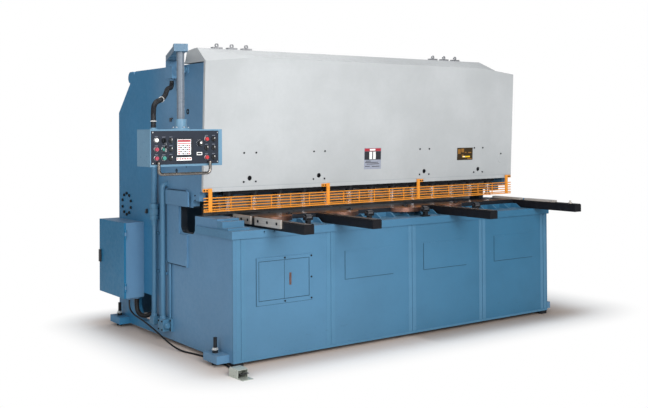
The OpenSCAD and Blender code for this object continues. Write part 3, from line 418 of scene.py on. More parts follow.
def make_finishes(look):
    blue = tuple(look.blue)
    pale = tuple(look.pale_blue)
    cover = tuple(look.cover)
    FINISHES.update({
        # darker towards the right-hand end, partly its own tone and partly painted shade; painted shade near
        # black inside round the throats
        "blue": machine_paint("blue enamel", tint(blue, (1.048, 1.012, 1.022)), throat=True,
                              east=tint(blue, (0.484, 0.759, 0.828))),
        # a slightly lighter copy of the blue: painted highlight on the apron's folds, the pipe union and the
        # oil manifold
        "highlit blue": machine_paint("blue enamel on folded edges", shade(blue, 1.04)),
        # paler at the front and darker towards the back, partly the paint's own tone and partly painted light
        # and shade; painted shade near black inside round the throats
        "frame blue": machine_paint("blue enamel on the side frames", tint(blue, (1.419, 1.193, 1.213)),
                                    throat=True, rear=tint(blue, (0.484, 0.952, 1.119))),
        # lit and shaded copies of the blue: the cabinet painted lighter for the light on its front, its
        # side-facing door darker as painted shade, partly their own tones too
        "cabinet tone and light": machine_paint("blue enamel on the cabinet", tint(blue, (1.613, 1.277, 1.287))),
        "door tone and shade": machine_paint("blue enamel on the cabinet door", tint(blue, (0.258, 0.861, 1.03))),
        "pale": machine_paint("pale blue enamel", pale, 0.32, 0.2),
        "pole": machine_paint("enamel on the arm and its pole", tint(blue, (1.0, 0.801, 0.765)), 0.28, 0.2,
                              pole=(0.12, 0.145, 0.175)),
        "cover": machine_paint("cover grey enamel", cover, 0.34, 0.25, (0.3, 0.3, 0.3)),
        "orange": machine_paint("guard orange", tuple(look.guard), 0.34, 0.5),
        "black": dark_steel("black enamel", (0.007, 0.007, 0.009), 0.36),
        "oxide": dark_steel("black oxide", (0.01, 0.012, 0.015), 0.42),
        "ground": ground_steel("ground steel along the table", (0.22, 0.115, 0.085), (0.6, 30.0, 8.0),
                               behind=(0.05, 0.06, 0.075)),
        "fence": ground_steel("ground fence plates", (0.5, 0.46, 0.42), (8.0, 0.6, 30.0), 0.3, 0.35),
        "arm top": ground_steel("ground steel along the arms", (0.42, 0.41, 0.4), (30.0, 0.6, 8.0)),
        "blade": ground_steel("blade steel", (0.3, 0.3, 0.31), (0.5, 20.0, 30.0), 0.15),
        "sheet": mill_sheet("mill sheet"),
        "zinc": mill_sheet("zinc plated steel", (0.66, 0.67, 0.66)),
        "chrome": polished_steel("hard chrome"),
        "bright": polished_steel("bright fasteners", (0.66, 0.66, 0.67), 0.24),
        "bright screws": polished_steel("gauge screws", (0.62, 0.62, 0.63), 0.2),
        "panel": printed_field("control face film", (0.014, 0.019, 0.03), 0.5),
        "black plastic": moulded_plastic("black moulding", (0.02, 0.02, 0.022)),
        "red plastic": moulded_plastic("red moulding", (0.34, 0.045, 0.075), 0.3),
        "green plastic": moulded_plastic("green moulding", (0.045, 0.24, 0.2), 0.3),
        "lamps": lamp_lenses("lamp lenses"),
        "foot switch": foot_switch_paint("foot switch enamel", (0.42, 0.45, 0.4)),
        "cable": cable_rubber("cable sheath", (0.005, 0.005, 0.006)),
        "conduit": cable_rubber("conduit sheath", (0.006, 0.007, 0.009), 0.45),
        "grip": polished_steel("plated grip", (0.22, 0.2, 0.18), 0.16),
        "legend": printed_field("legend print", (0.13, 0.14, 0.17)),
        # dark joints, also laid as painted shade along the lower and left edges of the apron's fields and
        # round the throat plate
        "joint": printed_field("panel joints", (0.006, 0.022, 0.04), 0.6),
        "roller": polished_steel("roller sleeves", (0.16, 0.16, 0.17), 0.25),
        "latch": polished_steel("door latch", (0.22, 0.13, 0.11), 0.35),
        "brown print": printed_field("brown print", (0.26, 0.12, 0.025)),
        "hazard ground": printed_field("hazard plate ground", (0.035, 0.022, 0.009)),
        "fold shade": printed_field("shade in the cover's fold", (0.3, 0.33, 0.35)),
        "key metal": polished_steel("keys", (0.4, 0.4, 0.4), 0.3),
        "white": printed_field("white print", (0.82, 0.82, 0.8)),
        "grey print": printed_field("grey print", (0.3, 0.32, 0.38)),
        "red print": printed_field("red print", (0.36, 0.03, 0.045)),
        "yellow print": printed_field("yellow print", (0.85, 0.52, 0.02)),
        "dark print": printed_field("dark print", (0.03, 0.03, 0.035)),
        "tie": moulded_plastic("cable ties", (0.8, 0.8, 0.78)),
        "glass": moulded_plastic("sight glass", (0.55, 0.4, 0.12), 0.08),
    })


NODE_FINISH = {
    "frame blue": ("side_frame_left", "side_frame_right", "pendant_bracket"),
    "blue": ("bed_frame", "front_covers", "rear_crossbeams", "oil_tank", "pump_motor", "side_pipes",
             "swing_beam"),
    "cabinet tone and light": ("cabinet_body",),
    "door tone and shade": ("cabinet_door",),
    "pale": ("pendant_box",),
    "pole": ("pendant_arm",),
    "cover": ("beam_cover", "top_cap"),
    "orange": ("finger_guard",),
    "black": ("support_arms", "hold_down_beam", "main_cylinders"),
    "oxide": ("hold_down_cylinders", "ball_units", "levelling_bolts", "key_switch"),
    "ground": ("table_plate", "lower_blade"),
    "fence": ("arm_fences",),
    "arm top": ("gauge_rails", "gauge_bar"),
    "blade": ("upper_blade", "pivot_pins", "valve_block"),
    "sheet": ("sheet_chute",),
    "zinc": ("control_gear",),
    "chrome": ("main_rams", "hold_down_plungers"),
    "grip": ("pendant_handle",),
    "bright": ("top_fittings",),
    "panel": ("control_panel",),
    "black plastic": ("cabinet_handle", "speed_knob", "mode_selector_top", "mode_selector_middle",
                      "mode_selector_bottom", "gauge_selector_inner", "gauge_selector_top",
                      "gauge_selector_middle", "gauge_selector_bottom", "foot_pedal"),
    "red plastic": ("stop_button_upper", "stop_button_lower"),
    "green plastic": ("start_button_upper", "start_button_lower"),
    "lamps": ("panel_lamps",),
    "foot switch": ("foot_switch",),
    "bright screws": ("gauge_screw_left", "gauge_screw_right"),
}


# ------------------------------------------------------------------ plain meshes


def spokes(axis, sides):
    """The unit axis, and unit vectors at even steps round it."""
    axis = Vector(axis).normalized()
    u = axis.orthogonal().normalized()
    v = axis.cross(u)
    turns = [math.tau * k / sides for k in range(sides)]
    return axis, [u * math.cos(t) + v * math.sin(t) for t in turns]


class Shape:
    """Collects closed parts of one piece, in the machine's millimetres."""

    def __init__(self, turn=None):
        self.points = []
        self.faces = []
        self.turn = turn

    def add(self, points, faces):
        start = len(self.points)
        if self.turn is not None:
            points = [self.turn @ Vector(p) for p in points]
        self.points += [at(*p) for p in points]
        self.faces += [tuple(start + i for i in face) for face in faces]
        return self

    def block(self, a, b):
        """A box between two corners."""
        corners = [(x, y, z) for x in (a[0], b[0]) for y in (a[1], b[1]) for z in (a[2], b[2])]
        faces = [(0, 1, 3, 2), (4, 6, 7, 5), (0, 4, 5, 1), (2, 3, 7, 6), (0, 2, 6, 4), (1, 5, 7, 3)]
        return self.add(corners, faces)

    def rod(self, centre, axis, radius, length, sides=24, far_radius=None):
        """A closed cylinder, or a cone whose far end has a radius of its own, from centre along axis."""
        axis, around = spokes(axis, sides)
        centre = Vector(centre)
        far_radius = radius if far_radius is None else far_radius
        points = []
        for spoke in around:
            points += [centre + spoke * radius, centre + axis * length + spoke * far_radius]
        rim = 2 * sides
        faces = [(2 * k, (2 * k + 2) % rim, (2 * k + 3) % rim, 2 * k + 1) for k in range(sides)]
        faces.append(tuple(2 * k for k in reversed(range(sides))))
        faces.append(tuple(2 * k + 1 for k in range(sides)))
        return self.add(points, faces)

    def hoop(self, centre, axis, ring, tube, sides=32, around=10):
        """A closed torus."""
        axis, spokes_of_ring = spokes(axis, sides)
        centre = Vector(centre)
        turns = [math.tau * j / around for j in range(around)]
        points = [centre + spoke * (ring + tube * math.cos(t)) + axis * tube * math.sin(t)
                  for spoke in spokes_of_ring for t in turns]
        faces = []
        for k in range(sides):
            for j in range(around):
                a, b = k * around + j, k * around + (j + 1) % around
                c = ((k + 1) % sides) * around + (j + 1) % around
                d = ((k + 1) % sides) * around + j
                faces.append((a, d, c, b))
        return self.add(points, faces)

    def sweep(self, route, radius, sides=16):
        """A closed round tube along points in the machine's millimetres."""
        route = [Vector(p) for p in route]
        n = len(route)
        points = []
        u = None
        for i in range(n):
            heading = (route[min(i + 1, n - 1)] - route[max(i - 1, 0)]).normalized()
            if u is None:
                u = heading.orthogonal()
            u = (u - heading * u.dot(heading)).normalized()
            v = heading.cross(u)
            for k in range(sides):
                t = math.tau * k / sides
                points.append(route[i] + (u * math.cos(t) + v * math.sin(t)) * radius)
        faces = []
        for i in range(n - 1):
            for k in range(sides):
                a, b = i * sides + k, i * sides + (k + 1) % sides
                faces.append((a, b, b + sides, a + sides))
        faces.append(tuple(reversed(range(sides))))
        faces.append(tuple((n - 1) * sides + k for k in range(sides)))
        return self.add(points, faces)

    def build(self, name, finish, body, bevel=0.0, smooth=False):
        """The finished piece, riding its body."""
        name = name.replace(" ", "_")
        mesh = bpy.data.meshes.new(name)
        mesh.from_pydata([tuple(p) for p in self.points], [], self.faces)
        mesh.validate()
        obj = bpy.data.objects.new(name, mesh)
        bpy.context.scene.collection.objects.link(obj)
        mesh.materials.append(FINISHES[finish])
        if smooth:
            mesh.shade_smooth()
        if bevel:
            edge = obj.modifiers.new("edges", "BEVEL")
            edge.width = bevel / 1000.0
            edge.segments = 2
            edge.limit_method = "ANGLE"
        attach(obj, body)
        return obj


def slab(name, a, b, finish, bevel=0.0):
    """A single block on the frame as a piece of its own."""
    return Shape().block(a, b).build(name, finish, "frame", bevel)


def smooth_route(points, steps):
    """Points of a smooth curve through the route."""
    p = [Vector(q) for q in points]
    n = len(p)
    out = []
    for i in range(n - 1):
        a, b, c, d = p[max(i - 1, 0)], p[i], p[i + 1], p[min(i + 2, n - 1)]
        for k in range(steps):
            t = k / steps
            out.append(0.5 * (2 * b + t * (c - a) + t * t * (2 * a - 5 * b + 4 * c - d)
                              + t * t * t * (3 * b - a - 3 * c + d)))
    out.append(p[-1])
    return out


def route_length(route):
    return sum((b - a).length for a, b in zip(route, route[1:])) / 1000.0


# ------------------------------------------------------------------ repeated pieces


class Repeat(Tree):
    """A geometry tree that places one small shape at every point of a mesh, turned to its aim."""

    def __init__(self, name, sizes):
        group = bpy.data.node_groups.new(name, "GeometryNodeTree")
        super().__init__(group)
        group.interface.new_socket("Geometry", in_out="INPUT", socket_type="NodeSocketGeometry")
        self.ids = {}
        for key, value in sizes.items():
            socket = group.interface.new_socket(key, in_out="INPUT", socket_type="NodeSocketFloat")
            socket.default_value = value
            self.ids[key] = socket.identifier
        socket = group.interface.new_socket("Finish", in_out="INPUT", socket_type="NodeSocketMaterial")
        self.ids["Finish"] = socket.identifier
        group.interface.new_socket("Geometry", in_out="OUTPUT", socket_type="NodeSocketGeometry")
        self.start = self.node("NodeGroupInput")

    def size(self, key):
        return self.start.outputs[key]

    def part_of(self, key, factor, extra=0.0):
        """A size times a factor, and a fixed length in metres on top."""
        return self.node("ShaderNodeMath", {"operation": "MULTIPLY_ADD"},
                         {0: self.size(key), 1: factor, 2: extra}).outputs[0]

    def drum(self, sides, radius, depth):
        """A closed cylinder or prism round the origin."""
        return self.node("GeometryNodeMeshCylinder", {"fill_type": "NGON"},
                         {"Vertices": sides, "Radius": radius, "Depth": depth})

    def lifted(self, mesh, height):
        """A mesh moved up by a height."""
        rise = self.node("ShaderNodeCombineXYZ", None, {"Z": height})
        return self.node("GeometryNodeTransform", None,
                         {"Geometry": mesh, "Translation": rise.outputs[0]}).outputs[0]

    def tube(self, curve, key, sides, **more):
        """A round tube along a curve, whose radius is one of the sizes."""
        section = self.node("GeometryNodeCurvePrimitiveCircle", {"mode": "RADIUS"},
                            {"Resolution": sides, "Radius": self.size(key)})
        inputs = {"Curve": curve, "Profile Curve": section.outputs[0]}
        inputs.update(more)
        return self.node("GeometryNodeCurveToMesh", None, inputs).outputs[0]

    def end(self, shape, pivot="AUTO"):
        """Places the shape on every point, turned to its aim, and closes the tree."""
        aim = self.node("GeometryNodeInputNamedAttribute", {"data_type": "FLOAT_VECTOR"}, {"Name": "aim"})
        turn = self.node("FunctionNodeAlignRotationToVector", {"axis": "Z", "pivot_axis": pivot},
                         {"Vector": aim.outputs["Attribute"]})
        placed = self.node("GeometryNodeInstanceOnPoints", None, {
            "Points": self.size("Geometry"), "Instance": shape, "Rotation": turn.outputs[0],
        })
        real = self.node("GeometryNodeRealizeInstances", None, {"Geometry": placed.outputs[0]})
        coat = self.node("GeometryNodeSetMaterial", None,
                         {"Geometry": real.outputs[0], "Material": self.size("Finish")})
        self.node("NodeGroupOutput", None, {"Geometry": coat.outputs[0]})

    def make(self, name, spots, finish, body, sizes):
        """spots: (x, y, z, aim) in the machine's millimetres. The result is one plain mesh."""
        name = name.replace(" ", "_")
        mesh = bpy.data.meshes.new(name + " points")
        mesh.from_pydata([tuple(at(*s[:3])) for s in spots], [], [])
        aims = mesh.attributes.new("aim", "FLOAT_VECTOR", "POINT")
        for k, s in enumerate(spots):
            aims.data[k].vector = s[3]
        obj = bpy.data.objects.new(name + " points", mesh)
        bpy.context.scene.collection.objects.link(obj)
        modifier = obj.modifiers.new("repeat", "NODES")
        modifier.node_group = self.tree
        modifier[self.ids["Finish"]] = FINISHES[finish]
        for key, value in sizes.items():
            modifier[self.ids[key]] = value / 1000.0
        graph = bpy.context.evaluated_depsgraph_get()
        result = bpy.data.meshes.new_from_object(obj.evaluated_get(graph), depsgraph=graph)
        if not len(result.polygons):
            raise RuntimeError(name + " came out empty")
        result.name = name
        piece = bpy.data.objects.new(name, result)
        bpy.context.scene.collection.objects.link(piece)
        bpy.data.objects.remove(obj)
        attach(piece, body)
        return piece


def socket_screw_tree():
    """A cap screw head with a round socket in its end, standing on its point."""
    t = Repeat("cap screws", {"Radius": 0.008, "Height": 0.008})
    socket_width, socket_depth = 0.52, 0.6
    head = t.drum(24, t.size("Radius"), t.size("Height"))
    rim = t.node("GeometryNodeExtrudeMesh", {"mode": "FACES"},
                 {"Mesh": head.outputs["Mesh"], "Selection": head.outputs["Top"], "Offset Scale": 0.0})
    drawn = t.node("GeometryNodeScaleElements", {"domain": "FACE"},
                   {"Geometry": rim.outputs["Mesh"], "Selection": rim.outputs["Top"],
                    "Scale": socket_width})
    sunk = t.node("GeometryNodeExtrudeMesh", {"mode": "FACES"},
                  {"Mesh": drawn.outputs["Geometry"], "Selection": rim.outputs["Top"],
                   "Offset Scale": t.part_of("Height", -socket_depth)})
    t.end(t.lifted(sunk.outputs["Mesh"], t.part_of("Height", 0.5)))
    return t


def hexagon_bolt_tree():
    """A hexagon head on a washer."""
    t = Repeat("hexagon bolts", {"Radius": 0.008, "Height": 0.006})
    washer_thick, washer_width = 0.002, 1.25
    washer = t.drum(24, t.part_of("Radius", washer_width), washer_thick)
    head = t.drum(6, t.size("Radius"), t.size("Height"))
    both = t.node("GeometryNodeJoinGeometry")
    t.feed(both.inputs[0], washer.outputs["Mesh"])
    t.feed(both.inputs[0], t.lifted(head.outputs["Mesh"], t.part_of("Height", 0.5, washer_thick / 2)))
    t.end(both.outputs[0])
    return t


def ring_tree():
    """Rings around their aim: bezels, ribs and collars."""
    t = Repeat("rings", {"Radius": 0.012, "Thickness": 0.0015})
    path = t.node("GeometryNodeCurvePrimitiveCircle", {"mode": "RADIUS"},
                  {"Resolution": 28, "Radius": t.size("Radius")})
    t.end(t.tube(path.outputs[0], "Thickness", 8))
    return t


def fin_tree():
    """Thin fins that stand out along their aim and run along Length on the machine's X axis."""
    t = Repeat("fins", {"Length": 0.2, "Thickness": 0.003, "Height": 0.012})
    size = t.node("ShaderNodeCombineXYZ", None,
                  {"X": t.size("Length"), "Y": t.size("Thickness"), "Z": t.size("Height")})
    fin = t.node("GeometryNodeMeshCube", None, {"Size": size.outputs[0]})
    t.end(fin.outputs["Mesh"], pivot="X")
    return t


def thread_tree():
    """A screw thread that winds from its point along its aim, with its pitch and depth."""
    t = Repeat("threads", {"Radius": 0.0125, "Pitch": 0.02, "Length": 0.8, "Depth": 0.002})
    turns = t.node("ShaderNodeMath", {"operation": "DIVIDE"}, {0: t.size("Length"), 1: t.size("Pitch")})
    coil = t.node("GeometryNodeCurveSpiral", None, {
        "Resolution": 16, "Rotations": turns.outputs[0], "Start Radius": t.size("Radius"),
        "End Radius": t.size("Radius"), "Height": t.size("Length"),
    })
    t.end(t.tube(coil.outputs[0], "Depth", 6, **{"Fill Caps": True}))
    return t


# ------------------------------------------------------------------ cords

FOOT_ROUTE = [
    (-1555, 1335, 248), (-1555, 1335, 230), (-1555, 1335, 212), (-1555, 1330, 193),
    (-1555, 1312, 172), (-1556, 1255, 152), (-1557, 1170, 140), (-1560, 1080, 132),
    (-1562, 990, 118), (-1560, 900, 100), (-1556, 810, 76), (-1545, 720, 46), (-1528, 640, 20),
    (-1508, 560, 7), (-1488, 480, 7), (-1472, 400, 7), (-1462, 310, 7), (-1459, 220, 7),
    (-1459, 130, 7), (-1464, 50, 7), (-1480, -15, 7), (-1502, -60, 10), (-1518, -82, 17),
    (-1526, -98, 24), (-1528.6, -110, 26), (-1528, -121, 26), (-1527.4, -132, 26),
]
CONDUIT_ROUTE = [
    (-1980, 10, 1500), (-1980, 10, 1522), (-1978, 14, 1556), (-1972, 26, 1594), (-1955, 54, 1629),
    (-1922, 98, 1652), (-1882, 150, 1664), (-1803, 260, 1681), (-1714, 400, 1712),
    (-1632, 540, 1752), (-1575, 630, 1768), (-1535, 690, 1774), (-1510, 725, 1785),
    (-1500, 740, 1804), (-1500, 740, 1826),
]
HOSE_ROUTE = [
    (-1490, 1350, 248), (-1490, 1350, 215), (-1490, 1345, 178), (-1486, 1328, 146),
    (-1472, 1305, 128), (-1450, 1285, 124), (-1425, 1262, 135), (-1398, 1240, 155),
    (-1372, 1215, 182), (-1355, 1192, 200), (-1350, 1178, 205), (-1350, 1165, 205),
]


def lay_cord(name, route, radius, finish, body, node):
    """One round cord along its route, in place of its CAD part."""
    line = smooth_route(route, 4)
    obj = Shape().sweep(line, radius, 14).build(name, finish, body, smooth=True)
    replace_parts(obj, node)
    at(*route[0])
    route_length(line)
    [at(*p) for p in line]


def even_spots(route, gap, skip):
    """Points at even gaps along a route, each with its heading."""
    line = smooth_route(route, 12)
    spots = []
    walked = 0.0
    due = skip
    total = route_length(line) * 1000.0
    for a, b in zip(line, line[1:]):
        step = (b - a).length
        while due <= walked + step and due < total - skip:
            p = a.lerp(b, (due - walked) / step)
            spots.append((p.x, p.y, p.z, tuple((b - a).normalized())))
            due += gap
        walked += step
    return spots


# ------------------------------------------------------------------ operators


class ShearSizes(bpy.types.PropertyGroup):
    """Colours and sizes that a user may change before the pieces are made."""

    blue: bpy.props.FloatVectorProperty(
        name="Body paint", description="Colour of the frames, apron, cabinet and arm", subtype="COLOR",
        size=3, min=0.0, max=1.0, default=(0.062, 0.166, 0.268))
    pale_blue: bpy.props.FloatVectorProperty(
        name="Pendant paint", description="Colour of the pendant's box", subtype="COLOR",
        size=3, min=0.0, max=1.0, default=(0.12, 0.232, 0.33))
    cover: bpy.props.FloatVectorProperty(
        name="Cover paint", description="Colour of the front cover and its roof", subtype="COLOR",
        size=3, min=0.0, max=1.0, default=(0.43, 0.445, 0.45))
    guard: bpy.props.FloatVectorProperty(
        name="Guard paint", description="Colour of the finger guard", subtype="COLOR",
        size=3, min=0.0, max=1.0, default=(0.78, 0.29, 0.035))
    screw_radius: bpy.props.FloatProperty(
        name="Pivot screw radius", description="Head radius of the pivot's cap screws", subtype="DISTANCE",
        unit="LENGTH", default=0.011, min=0.006, max=0.014)
    rib_gap: bpy.props.FloatProperty(
        name="Conduit rib pitch", description="Distance between the conduit's ribs", subtype="DISTANCE",
        unit="LENGTH", default=0.009, min=0.006, max=0.03)


class SHEAR_OT_finishes(bpy.types.Operator):
    """Gives every CAD part its finish"""

    bl_idname = "shear.finishes"
    bl_label = "Finishes"

    def execute(self, context):
        make_finishes(context.scene.shear)
        named = set()
        for finish, nodes in NODE_FINISH.items():
            for name in nodes:
                mesh = NODES[name].data
                mesh.materials.clear()
                mesh.materials.append(FINISHES[finish])
                named.add(name)
        left = set(NODES) - named - {"foot_cable", "pendant_conduit", "cabinet_hose"}
        if left:
            raise RuntimeError("no finish for " + ", ".join(sorted(left)))
        return {"FINISHED"}


class SHEAR_OT_cords(bpy.types.Operator):
    """Lays the foot switch cable, the pendant conduit and the cabinet hose"""

    bl_idname = "shear.cords"
    bl_label = "Cords"

    def execute(self, context):
        gap = context.scene.shear.rib_gap * 1000.0
        lay_cord("foot switch cable", FOOT_ROUTE, 6, "cable", "frame", "foot_cable")
        rings = ring_tree()
        ribs = rings.make("conduit ribs", even_spots(CONDUIT_ROUTE, gap, 14), "conduit", "pendant_arm",
                          {"Radius": 14.6, "Thickness": 1.5})
        ties = rings.make("conduit ties", even_spots(CONDUIT_ROUTE, 337, 38)[:2], "tie", "pendant_arm",
                          {"Radius": 16.4, "Thickness": 2.4})
        lay_cord("pendant conduit", CONDUIT_ROUTE, 15, "conduit", "pendant_arm", "pendant_conduit")
        hose_ribs = rings.make("hose ribs", even_spots(HOSE_ROUTE, 12, 16), "cable", "frame",
                               {"Radius": 16.6, "Thickness": 1.6})
        lay_cord("cabinet hose", HOSE_ROUTE, 17, "cable", "frame", "cabinet_hose")
        return {"FINISHED"}


class SHEAR_OT_screws(bpy.types.Operator):
    """Places cap screws and hexagon bolts on the frame, covers, guard, table, blade and pendant"""

    bl_idname = "shear.screws"
    bl_label = "Screws and bolts"

    def execute(self, context):
        heads = {"cap": socket_screw_tree(), "hexagon": hexagon_bolt_tree()}

        def fasten(head, name, spots, finish, radius, height, body="frame"):
            heads[head].make(name, spots, finish, body, {"Radius": radius, "Height": height})

        pivot_circle, flange_circle, cylinder_circle = 80, 44, 42
        pivot = [(side * HALF_W, PIVOT_Y + pivot_circle * across, PIVOT_Z + pivot_circle * rise, (side, 0, 0))
                 for side in SIDES for across, rise in circle(10, 18)]
        fasten("cap", "pivot screws", pivot, "oxide", context.scene.shear.screw_radius * 1000.0, 9)
        doors = ((-1066, 657), (-858, 654), (-858, 515), (-858, 377), (-1066, 378))
        fasten("cap", "access door screws", [(x, -3, z, FORWARD) for x, z in doors], "oxide", 6, 4)
        guard = [(post + side * dx, 375.5, COVER_Z + 11, FORWARD)
                 for post, side in ((-1403, -1), (-445, -1), (415, 1), (1387, 1)) for dx in (24, 44)]
        fasten("hexagon", "guard bolts", guard, "oxide", 4.5, 4)
        lip = [(side * HALF_W, 497, z, (side, 0, 0)) for side in SIDES for z in (1016, 1048)]
        fasten("cap", "throat lip screws", lip, "oxide", 5, 4)
        feet = [(side * (HALF_W + 45), y, 96, UP) for side in SIDES for y in (150, 1650)]
        fasten("hexagon", "levelling nuts", feet, "zinc", 19, 12)
        rear = [(side * 1370, 1744, z, BACKWARD) for side in SIDES for z in (620, 830, 1045)]
        fasten("hexagon", "rear guard bolts", rear, "zinc", 9, 7)
        flange = [(BOX_X0 + BOX_W / 2 + flange_circle * x, flange_circle * y, BOX_Z0 + 229, UP)
                  for x, y in circle(6, 30)]
        fasten("hexagon", "pipe flange bolts", flange, "bright", 5.5, 5, "pendant")
        face = [(BOX_X0 + dx, FACE_Y, BOX_Z0 + dz, FORWARD)
                for dx, dz in ((16, 201), (442, 199), (442, 23), (16, 21))]
        fasten("cap", "control face screws", face, "zinc", 3.4, 2.0, "pendant")
        fence = [(-1213.5, front + (back - front) * share, 894, LEFT)
                 for front, back in ((182, 408), (-182, 129)) for share in (0.14, 0.5, 0.86)]
        fasten("cap", "fence screws", fence, "oxide", 9, 3)

        rise, fall = math.cos(COVER_LEAN), math.sin(COVER_LEAN)

        def on_cover(x, height):
            """A spot on the leaning front of the cover, at a height above its lower edge."""
            return x, COVER_Y - height * fall - 0.4, COVER_Z + height * rise, (0, -rise, -fall)

        cover = [on_cover(k * HALF_W + dx, height)
                 for k in (-0.756, -0.359, 0.332, 0.734) for dx in (-48, 48) for height in (58, 255)]
        cover.append(on_cover(HALF_W - 127, 203))
        fasten("cap", "cover screws", cover, "oxide", 6.6, 3)
        collar = [(side * CYLINDER_X + dx, y, 1520, UP)
                  for side in SIDES for dx in (-62, 62) for y in (398, 478)]
        fasten("hexagon", "cylinder flange bolts", collar, "oxide", 9, 8)
        # midway between the hold-downs, so that no plunger comes down on a screw
        table = [(-1127.5 + 205 * k, 415, TABLE_H, UP) for k in range(12)]
        fasten("cap", "table screws", table, "oxide", 8, 1.4)
        arms = [(x, y, TABLE_H - 2, UP) for x in (-1165.5, -639.5, 410.4, 1310) for y in (20, 110)]
        fasten("cap", "arm screws", arms, "oxide", 7.5, 1.6)
        heads_of_cylinders = [
            (side * CYLINDER_X + cylinder_circle * x, 440 + cylinder_circle * y, 1800, UP)
            for side in SIDES for x, y in circle(6)]
        fasten("cap", "cylinder head screws", heads_of_cylinders, "oxide", 6, 6)
        # along the rake of the upper blade, clear of the beam's ribs
        blade = [(x, 605, 1062 + 0.021 * (x + 1230), BACKWARD) for x in range(-1180, 1240, 214)
                 if min(abs(x - 325 * rib) for rib in range(-2, 3)) > 24]
        fasten("hexagon", "blade bolts", blade, "oxide", 9, 8, "swing_beam")
        return {"FINISHED"}


class SHEAR_OT_cover_fields(bpy.types.Operator):
    """Puts the plates of plain colour, the fold's shade and the round cap on the front cover"""

    bl_idname = "shear.cover_fields"
    bl_label = "Cover fields"

    def execute(self, context):
        lean = (Matrix.Translation((0, COVER_Y, COVER_Z)) @ Matrix.Rotation(COVER_LEAN, 4, "X")
                @ Matrix.Translation((0, -COVER_Y, -COVER_Z)))
        plate, field, mark = 1.0, 1.4, 1.7

        def put(name, finish, out, x0, x1, z0, z1):
            """A thin block on the cover, whose face stands out by so many millimetres."""
            Shape(lean).block((x0, COVER_Y - out, z0), (x1, COVER_Y + 0.6, z1)).build(name, finish, "frame")

        put("plate backing", "grey print", plate, -114, 47, 1188, 1346)
        put("plate head", "red print", field, -111, 44, 1322, 1343)
        put("plate head mark", "white", mark, -62, -10, 1326, 1339)
        put("plate field", "dark print", field, -111, 44, 1258, 1321)
        put("plate left column", "white", mark, -66, -40, 1262, 1318)
        put("plate right column", "white", mark, -30, -6, 1262, 1318)
        lines = ((-98, -50, 1246), (-104, 20, 1236), (-90, 30, 1224), (-104, -60, 1208), (-40, 32, 1206))
        for k, (x0, x1, z) in enumerate(lines, 1):
            put("plate line %d" % k, "dark print", field, x0, x1, z, z + 5)
        put("cover fold", "fold shade", 0.5, 4 - HALF_W, HALF_W - 4, COVER_Z + 27, COVER_Z + 29.4)
        put("hazard plate", "hazard ground", plate, 828, 999, 1234, 1333)
        put("hazard head", "brown print", field, 872, 902, 1303, 1326)
        put("hazard sign", "brown print", field, 836, 866, 1284, 1322)
        lines = ((876, 902, 1296), (912, 930, 1292), (878, 900, 1270), (950, 985, 1290), (940, 990, 1240))
        for k, (x0, x1, z) in enumerate(lines, 1):
            put("hazard mark %d" % k, "brown print", field, x0, x1, z, z + 7)
        put("hazard band", "yellow print", field, 884, 970, 1256, 1267)
        put("hazard light", "white", mark, 892, 912, 1258, 1265)
        cap = Shape(lean).rod((1323, COVER_Y + 0.5, 1235), FORWARD, 34, 2.5, 40, 32)
        cap.build("round cap", "cover", "frame")
        return {"FINISHED"}


# Places on the control face, from the lower left corner of the box
KEYS_AT = (86, 153)
KNOB_AT = (BOX_W - 154, 135)
BUTTONS = {
    "stop_button_upper": (38, 102), "stop_button_lower": (38, 50),
    "start_button_upper": (86, 102), "start_button_lower": (86, 50),
}
SELECTORS = {
    "mode_selector_top": (132, 153), "mode_selector_middle": (132, 102),
    "mode_selector_bottom": (132, 50), "gauge_selector_inner": (BOX_W - 108, 107),
    "gauge_selector_top": (BOX_W - 60, 160), "gauge_selector_middle": (BOX_W - 60, 107),
    "gauge_selector_bottom": (BOX_W - 60, 50),
}
LAMPS = [(38, 156), (BOX_W - 108, 160), (BOX_W - 108, 50)]


def spot(dx, dz, out):
    """A point in front of the control face, by so many millimetres."""
    return BOX_X0 + dx, FACE_Y - out, BOX_Z0 + dz


def tile(shape, dx0, dz0, dx1, dz1, out=0.35, back=-0.3):
    """A block between two corners on the face, from back to out in front of it."""
    return shape.block(spot(dx0, dz0, out), spot(dx1, dz1, back))


def dress_controls():
    """Bezels round the buttons, lamps and selectors, their legends and the selectors' pointers."""
    rings = ring_tree()
    for name, places, finish, thick in (
        ("selector bezels", [KEYS_AT] + list(SELECTORS.values()), "oxide", 1.5),
        ("button bezels", list(BUTTONS.values()) + LAMPS, "key metal", 1.3),
    ):
        rings.make(name, [spot(dx, dz, 1.0) + (FORWARD,) for dx, dz in places], finish, "pendant",
                   {"Radius": 14.2, "Thickness": thick})
    legends = Shape()
    for dx, dz in list(BUTTONS.values()) + [KEYS_AT] + list(SELECTORS.values()) + LAMPS:
        tile(legends, dx - 10, dz + 19, dx + 10, dz + 23)
    legends.build("legend strips", "legend", "pendant")
    for name, (dx, dz) in SELECTORS.items():
        tile(Shape(), dx - 1.2, dz + 1, dx + 1.2, dz + 11, 16.5, 15.8).build(
            name.replace("_", " ") + " mark", "white", name)


